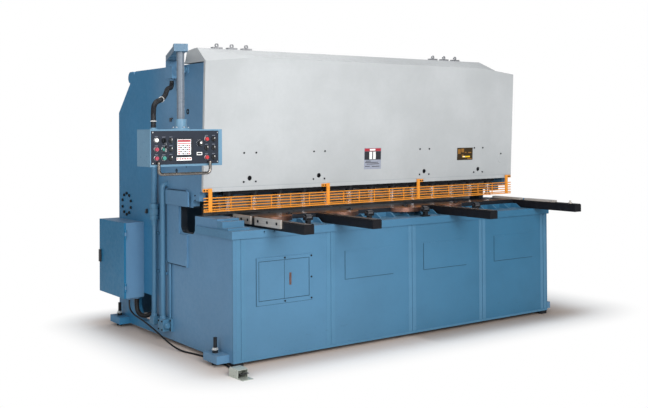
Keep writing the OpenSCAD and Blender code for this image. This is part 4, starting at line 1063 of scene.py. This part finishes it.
def dress_knob():
    """The speed knob's scale, its pointer and the ribs of its grip."""
    dx, dz = KNOB_AT
    scale_radius, grip_radius = 21, 13.6
    first_mark, mark_step = 225, 27
    scale = Shape()
    for k in range(11):
        a = math.radians(first_mark - mark_step * k)
        x, z = dx + scale_radius * math.cos(a), dz + scale_radius * math.sin(a)
        tile(scale, x - 0.9, z - 0.9, x + 0.9, z + 0.9)
    scale.build("speed scale", "white", "pendant")
    mark = Shape().rod(spot(dx, dz + 3, 19.0), BACKWARD, 6.5, 0.8, 20)
    tile(mark, dx - 1.6, dz + 3, dx + 1.6, dz + 12, 18.9, 18.2)
    mark.build("speed knob mark", "white", "speed_knob")
    grip = Shape()
    for x, z in circle(16):
        grip.rod(spot(dx + grip_radius * x, dz + grip_radius * z, 17.5), BACKWARD, 1.2, 14, 8)
    grip.build("speed knob ribs", "black plastic", "speed_knob")


def dress_display():
    """The display with its rim, head bands and rows of keys, the keys below it, and the counter."""
    # the display's lower left corner
    left, foot = 163, 60
    tile(Shape(), left + 9, foot + 8, left + 98, foot + 99, 4.6, 3.9).build(
        "display glass", "white", "pendant")
    rim = Shape()
    for x0, z0, x1, z1 in ((-1, -4, 108.5, -0.5), (-1, 100.5, 108.5, 104.5),
                           (-4, -4, -0.5, 104.5), (107.5, -4, 111, 104.5)):
        tile(rim, left + x0, foot + z0, left + x1, foot + z1, 5.4)
    rim.build("display rim", "black plastic", "pendant")
    bands = Shape()
    for z0, z1 in ((84, 96), (73, 78)):
        tile(bands, left + 12, foot + z0, left + 95, foot + z1, 4.9, 4.5)
    bands.build("display bands", "red print", "pendant")
    keys = {"dark print": Shape(), "red print": Shape(), "grey print": Shape()}
    for row in range(5):
        for column in range(6):
            x, z = left + 14 + 13.6 * column, foot + 11 + 12.2 * row
            inner = ("dark print", "grey print")[(row + column) % 2]
            kind = "red print" if column in (0, 5) else inner
            tile(keys[kind], x, z, x + 10.6, z + 7.2, 4.9, 4.5)
    for kind, shape in keys.items():
        shape.build("display keys " + kind.split()[0], kind, "pendant")
    strip = Shape()
    for k in range(6):
        x = left + 6 + 16.4 * k
        tile(strip, x, foot - 20, x + 11, foot - 12, 2.5, 1.8)
    strip.build("function keys", "red print", "pendant")
    for name, finish, dx0, dz0, dx1, dz1, out, back in (
        ("function strip", "white", left + 4, foot - 26, left + 103, foot - 7, 2.3, 1.9),
        ("counter window", "white", 301, 64, 337, 82, 2.5, 1.8),
        ("counter wheels", "dark print", 305, 68, 333, 78, 2.8, 2.4),
    ):
        tile(Shape(), dx0, dz0, dx1, dz1, out, back).build(name, finish, "pendant")


def hang_keys():
    """A ring with two keys, which hangs from the key switch."""
    x, y, z = spot(*KEYS_AT, 27)
    keyring = Shape().hoop((x, y, z - 19), (1, 0, 0), 11, 0.9, 28, 8)
    for tilt, dx in ((0.16, 1.6), (-0.12, -1.2)):
        keyring.turn = Matrix.Translation((x + dx, y, z - 29)) @ Matrix.Rotation(tilt, 4, "Y")
        keyring.rod((0, -1, -8), BACKWARD, 7.5, 1.6, 20)
        for x0, x1, z0, z1 in ((-2.6, 2.6, -36, -13), (2, 4.2, -34, -31), (2, 3.8, -28, -25)):
            keyring.block((x0, -0.8, z0), (x1, 0.5, z1))
    keyring.build("keys", "key metal", "key_switch")


class SHEAR_OT_control_face(bpy.types.Operator):
    """Details the control face: bezels, legends, pointers, scale, display, counter and keys"""

    bl_idname = "shear.control_face"
    bl_label = "Control face"

    def execute(self, context):
        dress_controls()
        dress_knob()
        dress_display()
        hang_keys()
        return {"FINISHED"}


class SHEAR_OT_side_details(bpy.types.Operator):
    """Adds lifting eyes, port rings and plugs, painted shade round the throat plates and cable clips to the
    side frames
    """

    bl_idname = "shear.side_details"
    bl_label = "Side details"

    def execute(self, context):
        eye_at = (611, 1894)
        grease_at, port_at, hole_at = (598, 1611), (770, 1206), (627, 1236)
        for side, name in ((-1, "left lifting eye"), (1, "right lifting eye")):
            eye = Shape()
            eye.hoop((side * (HALF_W + 44), *eye_at), BACKWARD, 29, 7.5, 48, 12)
            eye.rod((side * (HALF_W - 24), *eye_at), (side, 0, 0), 11.6, 42, 24)
            eye.rod((side * (HALF_W + 6.2), *eye_at), (side, 0, 0), 19, 9, 32)
            eye.build(name, "blue", "frame")
        rings = ring_tree()
        for name, place, radius in (("grease port rings", grease_at, 15.5),
                                    ("side port rings", port_at, 10.5)):
            rings.make(name, [(side * HALF_W, *place, (side, 0, 0)) for side in SIDES], "oxide", "frame",
                       {"Radius": radius, "Thickness": 3.5})
        stops, edges, nibs = Shape(), Shape(), Shape()
        for side in SIDES:
            for place, radius, length, sides in ((grease_at, 15.9, 12, 28), (port_at, 6.9, 14, 20),
                                                 (hole_at, 6.9, 17, 20)):
                stops.rod((side * (HALF_W - 18), *place), (side, 0, 0), radius, length, sides)
            nibs.rod((side * (HALF_W - 7), *grease_at), (side, 0, 0), 7, 9, 20)
            # dark lines painted round the raised throat plate's edge, as the shade at its step
            outline = [(612, 163)] + [(870 + 33 * s, 130 + 33 * c) for c, s in QUARTER]
            outline += [(903, -336), (896, -349), (882, -352), (612, -352)]
            edges.sweep([(side * (HALF_W + 12.3), y, TABLE_H + z) for y, z in outline], 2.6, 8)
        stops.build("side port plugs", "oxide", "frame")
        edges.build("throat plate edge shade", "joint", "frame")
        nibs.build("grease nipples", "blue", "frame")
        clip = Shape()
        for out, y0, z0, y1, z1 in ((16, 1236, 880, 1262, 892), (16, 1236, 892, 1248, 912),
                                    (12, 822, 1564, 856, 1572), (12, 842, 1546, 856, 1564)):
            clip.block((-HALF_W - out, y0, z0), (-HALF_W + 0.3, y1, z1))
        clip.build("side frame cable clips", "black plastic", "frame", 1.0)
        return {"FINISHED"}


class SHEAR_OT_hydraulics(bpy.types.Operator):
    """Dresses the tank, the motor and the valves inside the frame"""

    bl_idname = "shear.hydraulics"
    bl_label = "Hydraulics"

    def execute(self, context):
        wall = -INNER_X
        spots = []
        fins, arc, motor_radius = 28, 280, 92
        for k in range(fins):
            a = math.radians(-arc / 2 + arc * k / (fins - 1) + 90)
            under_terminal_box = abs(math.cos(a)) < 0.25 and math.sin(a) > 0
            if not under_terminal_box:
                spots.append((wall + 525, 860 + motor_radius * math.cos(a),
                              430 + motor_radius * math.sin(a), (0, math.cos(a), math.sin(a))))
        fin_tree().make("motor fins", spots, "blue", "frame", {"Length": 250, "Thickness": 3, "Height": 12})
        slab("motor terminal box", (wall + 480, 805, 500), (wall + 590, 915, 560), "blue", 2.0)
        filler = Shape().rod((wall + 760, 1060, 330), UP, 34, 10, 32)
        filler.rod((wall + 760, 1060, 340), UP, 26, 34, 32)
        filler.build("tank filler cap", "black plastic", "frame", 1.0)
        slab("level gauge frame", (wall + 700, 1150, 120), (wall + 726, 1156, 270), "bright", 1.0)
        slab("level gauge glass", (wall + 706, 1155, 135), (wall + 720, 1158, 255), "glass", 0.8)
        coils = Shape()
        for x in (105, 145, 185):
            coils.rod((wall + x, 600, 375), BACKWARD, 15, 42, 24)
            coils.block((wall + x - 13, 604, 388), (wall + x + 13, 634, 408))
        coils.build("valve coils", "black plastic", "frame", 1.0)
        couplings = Shape()
        for x, radius, length in ((145, 20, 20), (95, 14, 16), (195, 14, 16)):
            couplings.rod((wall + x, 775, 410), UP, radius, length, 6)
        couplings.build("valve unions", "bright", "frame", 0.8)
        return {"FINISHED"}


class SHEAR_OT_pipes(bpy.types.Operator):
    """Runs the oil pipes down the left side frame, with their union, elbows, feet and manifold"""

    bl_idname = "shear.pipes"
    bl_label = "Oil pipes"

    def execute(self, context):
        face, x = -HALF_W, -HALF_W - 30
        rear_y, front_y = 1063, 928
        hexagon, round_sides, elbow = 6, 28, 26
        pipes = Shape()
        pipes.rod((x, rear_y, 150), UP, 15.5, 680, round_sides)
        pipes.rod((x, rear_y, 158), UP, 23, 22, hexagon)
        pipes.rod((x, front_y, 158), UP, 24, 26, hexagon)
        for y, low, top, radius in ((rear_y, 950, 1242, 20), (front_y, 160, 1108, 17.5)):
            bend = [(x + elbow * (1 - c), y, top - elbow + elbow * s) for c, s in QUARTER]
            pipes.sweep([(x, y, low), (x, y, (low + top) / 2)] + bend + [(face + 0.3, y, top)],
                        radius, round_sides)
            pipes.rod((face - 6, y, top), (1, 0, 0), radius + 8, 6.3, round_sides)
        # thin return line below the throat plate
        pipes.rod((face - 9, 856, 170), UP, 8.5, 386, 20)
        for y in (front_y, rear_y):
            for z in (470, 740):
                pipes.block((face - 14, y - 19, z), (face + 0.3, y + 19, z + 20))
        piece = pipes.build("oil pipes", "blue", "frame", 0.8)
        largest_round_face = 0.02
        for polygon in piece.data.polygons:
            polygon.use_smooth = len(polygon.vertices) == 4 and polygon.area < largest_round_face
        union = Shape()
        for z, radius, length, sides in ((812, 21, 42, round_sides), (850, 32, 24, round_sides),
                                         (872, 28, 68, round_sides), (886, 35, 36, hexagon),
                                         (936, 33, 26, round_sides)):
            union.rod((x, rear_y, z), UP, radius, length, sides)
        # in the lighter blue, as painted highlight
        union.build("pipe union", "highlit blue", "frame", 1.5)
        blocks = Shape()
        for out, y0, z0, back, y1, z1 in ((55, 1034, 108, -0.3, 1092, 160), (17, 826, 84, -0.3, 950, 174),
                                          (60, 868, 84, 16, 950, 166)):
            blocks.block((face - out, y0, z0), (face - back, y1, z1))
        blocks.rod((face - 38, 869, 126), FORWARD, 16, 38, 24)
        blocks.rod((face - 38, 856, 126), FORWARD, 23, 15, hexagon)
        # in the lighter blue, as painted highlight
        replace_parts(blocks.build("oil manifold", "highlit blue", "frame", 2.0), "side_pipes")
        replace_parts(piece, "side_pipes")
        bolts = [(face - 60, y, z, LEFT) for y in (882, 936) for z in (96, 154)]
        bolts += [(face - 17, 838, z, LEFT) for z in (96, 162)]
        socket_screw_tree().make("manifold screws", bolts, "oxide", "frame", {"Radius": 6, "Height": 6})
        slab("pipe clip", (face - 12, 984, 176), (face + 0.3, 1006, 200), "black plastic", 1.0)
        return {"FINISHED"}


class SHEAR_OT_apron(bpy.types.Operator):
    """Adds the apron's folds in a blue lightened as painted highlight, its joints, door gaps, painted edge
    shade and latch
    """

    bl_idname = "shear.apron"
    bl_label = "Apron"

    def execute(self, context):
        # the folds are built in the lighter blue, as painted highlight
        folds = Shape()
        for seam in (-1393.5, -697.5, 21.8, 722.1, 1405.1):
            for x0, x1 in ((seam - 34, seam - 3), (seam + 3, seam + 34)):
                folds.block((x0, -1.2, 42), (x1, 0.4, 798))
        folds.block((-HALF_W + 2, -2.4, 25.5), (HALF_W - 2, 0.4, 40))
        folds.build("apron folds", "highlit blue", "frame", 1.0)
        gaps = Shape()
        # round the pair of doors, between them, and round the plate that they hang on
        for y, x0, x1, z0, z1 in (
            (-4, -1264.8, -1262.0, 392.4, 645.6), (-4, -877.0, -874.2, 392.4, 645.6),
            (-4, -1262.0, -877.0, 643.0, 645.6), (-4, -1262.0, -877.0, 392.4, 395.0),
            (-3, -1070.6, -1068.4, 396.0, 642.0), (0, -1282.8, -1280.2, 362.6, 668.0),
            (0, -1280.2, -850.0, 362.6, 365.0), (0, -850.2, -847.6, 362.6, 668.0),
        ):
            gaps.block((x0, y - 0.5, z0), (x1, y + 0.5, z1))
        # dark lines painted along the lower and the left edge of each field, as the shade at its edge
        for x in (-576.0, 132.0, 851.0):
            gaps.block((x - 2.8, -1.4, 467.0), (x + 422.0, 0.3, 469.8))
            gaps.block((x - 2.8, -1.4, 469.8), (x - 0.2, 0.3, 660.0))
        gaps.build("apron joints and edge shade", "joint", "frame")
        latch = Shape().block((-1032, -5.5, 478), (-1016, -2.6, 558))
        latch.block((-1028, -9, 500), (-1020, -5.2, 550))
        latch.rod((-1024, -5.2, 490), FORWARD, 5.5, 4.0, 20)
        latch.build("access door latch", "latch", "frame", 1.0)
        return {"FINISHED"}


class SHEAR_OT_rollers(bpy.types.Operator):
    """Puts sleeves on the ledge rollers and crowns on the balls behind them"""

    bl_idname = "shear.rollers"
    bl_label = "Rollers"

    def execute(self, context):
        roller_y, roller_z = 24, 907
        sleeves = Shape()
        for i in range(4):
            x = -HALF_W + 587 + 517 * i
            sleeves.rod((x - 20.5, roller_y, roller_z), (1, 0, 0), 16.4, 41, 32)
            for end in SIDES:
                sleeves.rod((x + end * 30, roller_y, roller_z), (end, 0, 0), 7, 5, 20)
            sleeves.rod((x, 250, 917.5), UP, 9.4, 5.5, 24, 4.5)
        sleeves.build("roller sleeves", "roller", "frame")
        return {"FINISHED"}


class SHEAR_OT_gauge(bpy.types.Operator):
    """Winds the threads on the back gauge screws and covers their drive ends"""

    bl_idname = "shear.gauge"
    bl_label = "Back gauge"

    def execute(self, context):
        threads = thread_tree()
        caps = Shape()
        for x, body in ((-900, "gauge_screw_left"), (900, "gauge_screw_right")):
            threads.make(body.replace("_", " ") + " thread", [(x, 650, TABLE_H + 73, BACKWARD)],
                         "bright screws", body, {"Radius": 11.4, "Pitch": 20, "Length": 815, "Depth": 1.3})
            caps.block((x - 36, 1588.5, TABLE_H + 40), (x + 36, 1592, TABLE_H + 106))
        caps.build("gauge drive covers", "oxide", "swing_beam", 1.0)
        return {"FINISHED"}


class SHEAR_OT_stage(bpy.types.Operator):
    """Sets the floor, the lamps, the world and the camera"""

    bl_idname = "shear.stage"
    bl_label = "Stage"

    def execute(self, context):
        scene = context.scene
        lay_floor(scene)
        light_world(scene)
        lamp("key lamp", (-1.8, -7.2, 3.6), (0.0, 0.0, 0.9), 4.2, 580.0)
        lamp("side lamp", (-6.5, -3.0, 3.0), (-1.4, 0.2, 0.8), 3.6, 165.0)
        lamp("top lamp", (0.8, 1.6, 6.5), (0.2, 0.0, 0.8), 4.5, 170.0)
        scene.camera = place_camera((-4.1068, -5.7329, 1.4799), -35.524, -0.623, -0.326)
        scene.view_settings.view_transform = "Standard"
        return {"FINISHED"}


def lay_floor(scene):
    """One wide plane under the machine."""
    mesh = bpy.data.meshes.new("floor")
    reach = 40.0
    corners = [(-reach, -reach, 0), (reach, -reach, 0), (reach, reach, 0), (-reach, reach, 0)]
    mesh.from_pydata(corners, [], [(0, 1, 2, 3)])
    floor = bpy.data.objects.new("floor", mesh)
    scene.collection.objects.link(floor)
    mesh.materials.append(floor_finish())


def light_world(scene):
    """White for the camera and for what is seen through glass, and a dimmer fill for all else."""
    world = bpy.data.worlds.new("studio")
    scene.world = world
    world.use_nodes = True
    t = Tree(world.node_tree)
    world.node_tree.nodes.clear()
    seen = t.node("ShaderNodeLightPath")
    direct = Value(t, seen.outputs["Is Camera Ray"])
    through = Value(t, seen.outputs["Is Transmission Ray"])
    fill = t.node("ShaderNodeBackground", None, {"Color": (0.9, 0.94, 1.0), "Strength": 0.34})
    white = t.node("ShaderNodeBackground", None, {"Color": (1.0, 1.0, 1.0), "Strength": 1.0})
    both = t.node("ShaderNodeMixShader", None,
                  {0: direct.most(through), 1: fill.outputs[0], 2: white.outputs[0]})
    t.node("ShaderNodeOutputWorld", None, {"Surface": both.outputs[0]})


def place_camera(place, heading, tilt, roll):
    """A camera at a place in metres, turned by three angles in degrees, with its frame shifted down."""
    camera = bpy.data.cameras.new("camera")
    camera.sensor_width = 36.0
    camera.lens = 51.68
    camera.shift_y = -0.1295
    camera.clip_end = 200.0
    eye = bpy.data.objects.new("camera", camera)
    a, p, r = math.radians(heading), math.radians(tilt), math.radians(roll)
    back = Vector((math.sin(a) * math.cos(p), -math.cos(a) * math.cos(p), math.sin(p)))
    right = Vector((math.cos(a), math.sin(a), 0.0))
    up = back.cross(right)
    turn = Matrix((right * math.cos(r) + up * math.sin(r), up * math.cos(r) - right * math.sin(r),
                   back)).transposed().to_4x4()
    eye.matrix_world = Matrix.Translation(place) @ turn
    bpy.context.scene.collection.objects.link(eye)
    return eye


def lamp(name, place, target, size, power):
    """A square area lamp at a place, aimed at a target."""
    data = bpy.data.lights.new(name, "AREA")
    data.shape = "SQUARE"
    data.size = size
    data.energy = power
    obj = bpy.data.objects.new(name, data)
    obj.location = place
    obj.rotation_euler = (Vector(target) - Vector(place)).to_track_quat("-Z", "Y").to_euler()
    bpy.context.scene.collection.objects.link(obj)


def floor_finish():
    """Pale floor with a brown shadow painted round the machine's foot, that also takes its real shadow and
    runs out to white.
    """
    f = Finish("studio floor")
    middle_y, half_length, half_depth = 0.209, 1.46, 0.88
    off_x = f.x - SHIFT_X / 1000.0
    off_y = f.y - middle_y
    east = off_x.ease(0.0, 0.1)
    # the painted shadow reaches further and is darker at the right-hand end
    out_x = (off_x.maths("ABSOLUTE", off_x) - half_length).most(0.0) * (1.0 - east * 0.36)
    out_y = (off_y.maths("ABSOLUTE", off_y) - half_depth).most(0.0)
    away = (out_x * out_x + out_y * out_y) ** 0.5
    cloud = f.mix(f.noise(1.5, 2.0), (0.74, 0.73, 0.72), (0.78, 0.77, 0.76))
    # painted shadow: a brown tone round the machine's foot, fading to the floor's own colour
    foot = f.mix(east, (0.56, 0.465, 0.405), (0.38, 0.31, 0.265))
    near = f.mix(away.ease(0.0, 0.38), foot, cloud)
    plain = f.node("ShaderNodeBsdfPrincipled", None, {"Base Color": near, "Roughness": 0.75})
    glow = f.node("ShaderNodeEmission", None, {"Color": (1.0, 1.0, 1.0), "Strength": 1.0})
    direct = Value(f, f.node("ShaderNodeLightPath").outputs["Is Camera Ray"])
    share = direct * away.ease(0.12, 0.62)
    both = f.node("ShaderNodeMixShader", None, {0: share, 1: plain.outputs[0], 2: glow.outputs[0]})
    f.node("ShaderNodeOutputMaterial", None, {"Surface": both.outputs[0]})
    return f.material


STEPS = (
    SHEAR_OT_finishes, SHEAR_OT_cords, SHEAR_OT_screws, SHEAR_OT_cover_fields, SHEAR_OT_control_face,
    SHEAR_OT_side_details, SHEAR_OT_hydraulics, SHEAR_OT_pipes, SHEAR_OT_apron, SHEAR_OT_rollers,
    SHEAR_OT_gauge, SHEAR_OT_stage,
)


class SHEAR_PT_pieces(bpy.types.Panel):
    """Lists the pieces of the shear in the order in which they are made"""

    bl_idname = "SHEAR_PT_pieces"
    bl_label = "Hydraulic Shear"
    bl_space_type = "VIEW_3D"
    bl_region_type = "UI"
    bl_category = "Shear"

    def draw(self, context):
        sizes = context.scene.shear
        for key in ("blue", "pale_blue", "cover", "guard", "screw_radius", "rib_gap"):
            self.layout.prop(sizes, key)
        for step in STEPS:
            self.layout.operator(step.bl_idname)


CLASSES = (ShearSizes,) + STEPS + (SHEAR_PT_pieces,)


def register():
    for item in CLASSES:
        bpy.utils.register_class(item)
    bpy.types.Scene.shear = bpy.props.PointerProperty(type=ShearSizes)


def unregister():
    del bpy.types.Scene.shear
    for item in reversed(CLASSES):
        bpy.utils.unregister_class(item)


def main():
    register()
    for step in STEPS:
        group, name = step.bl_idname.split(".")
        getattr(getattr(bpy.ops, group), name)()


if __name__ == "__main__":
    main()
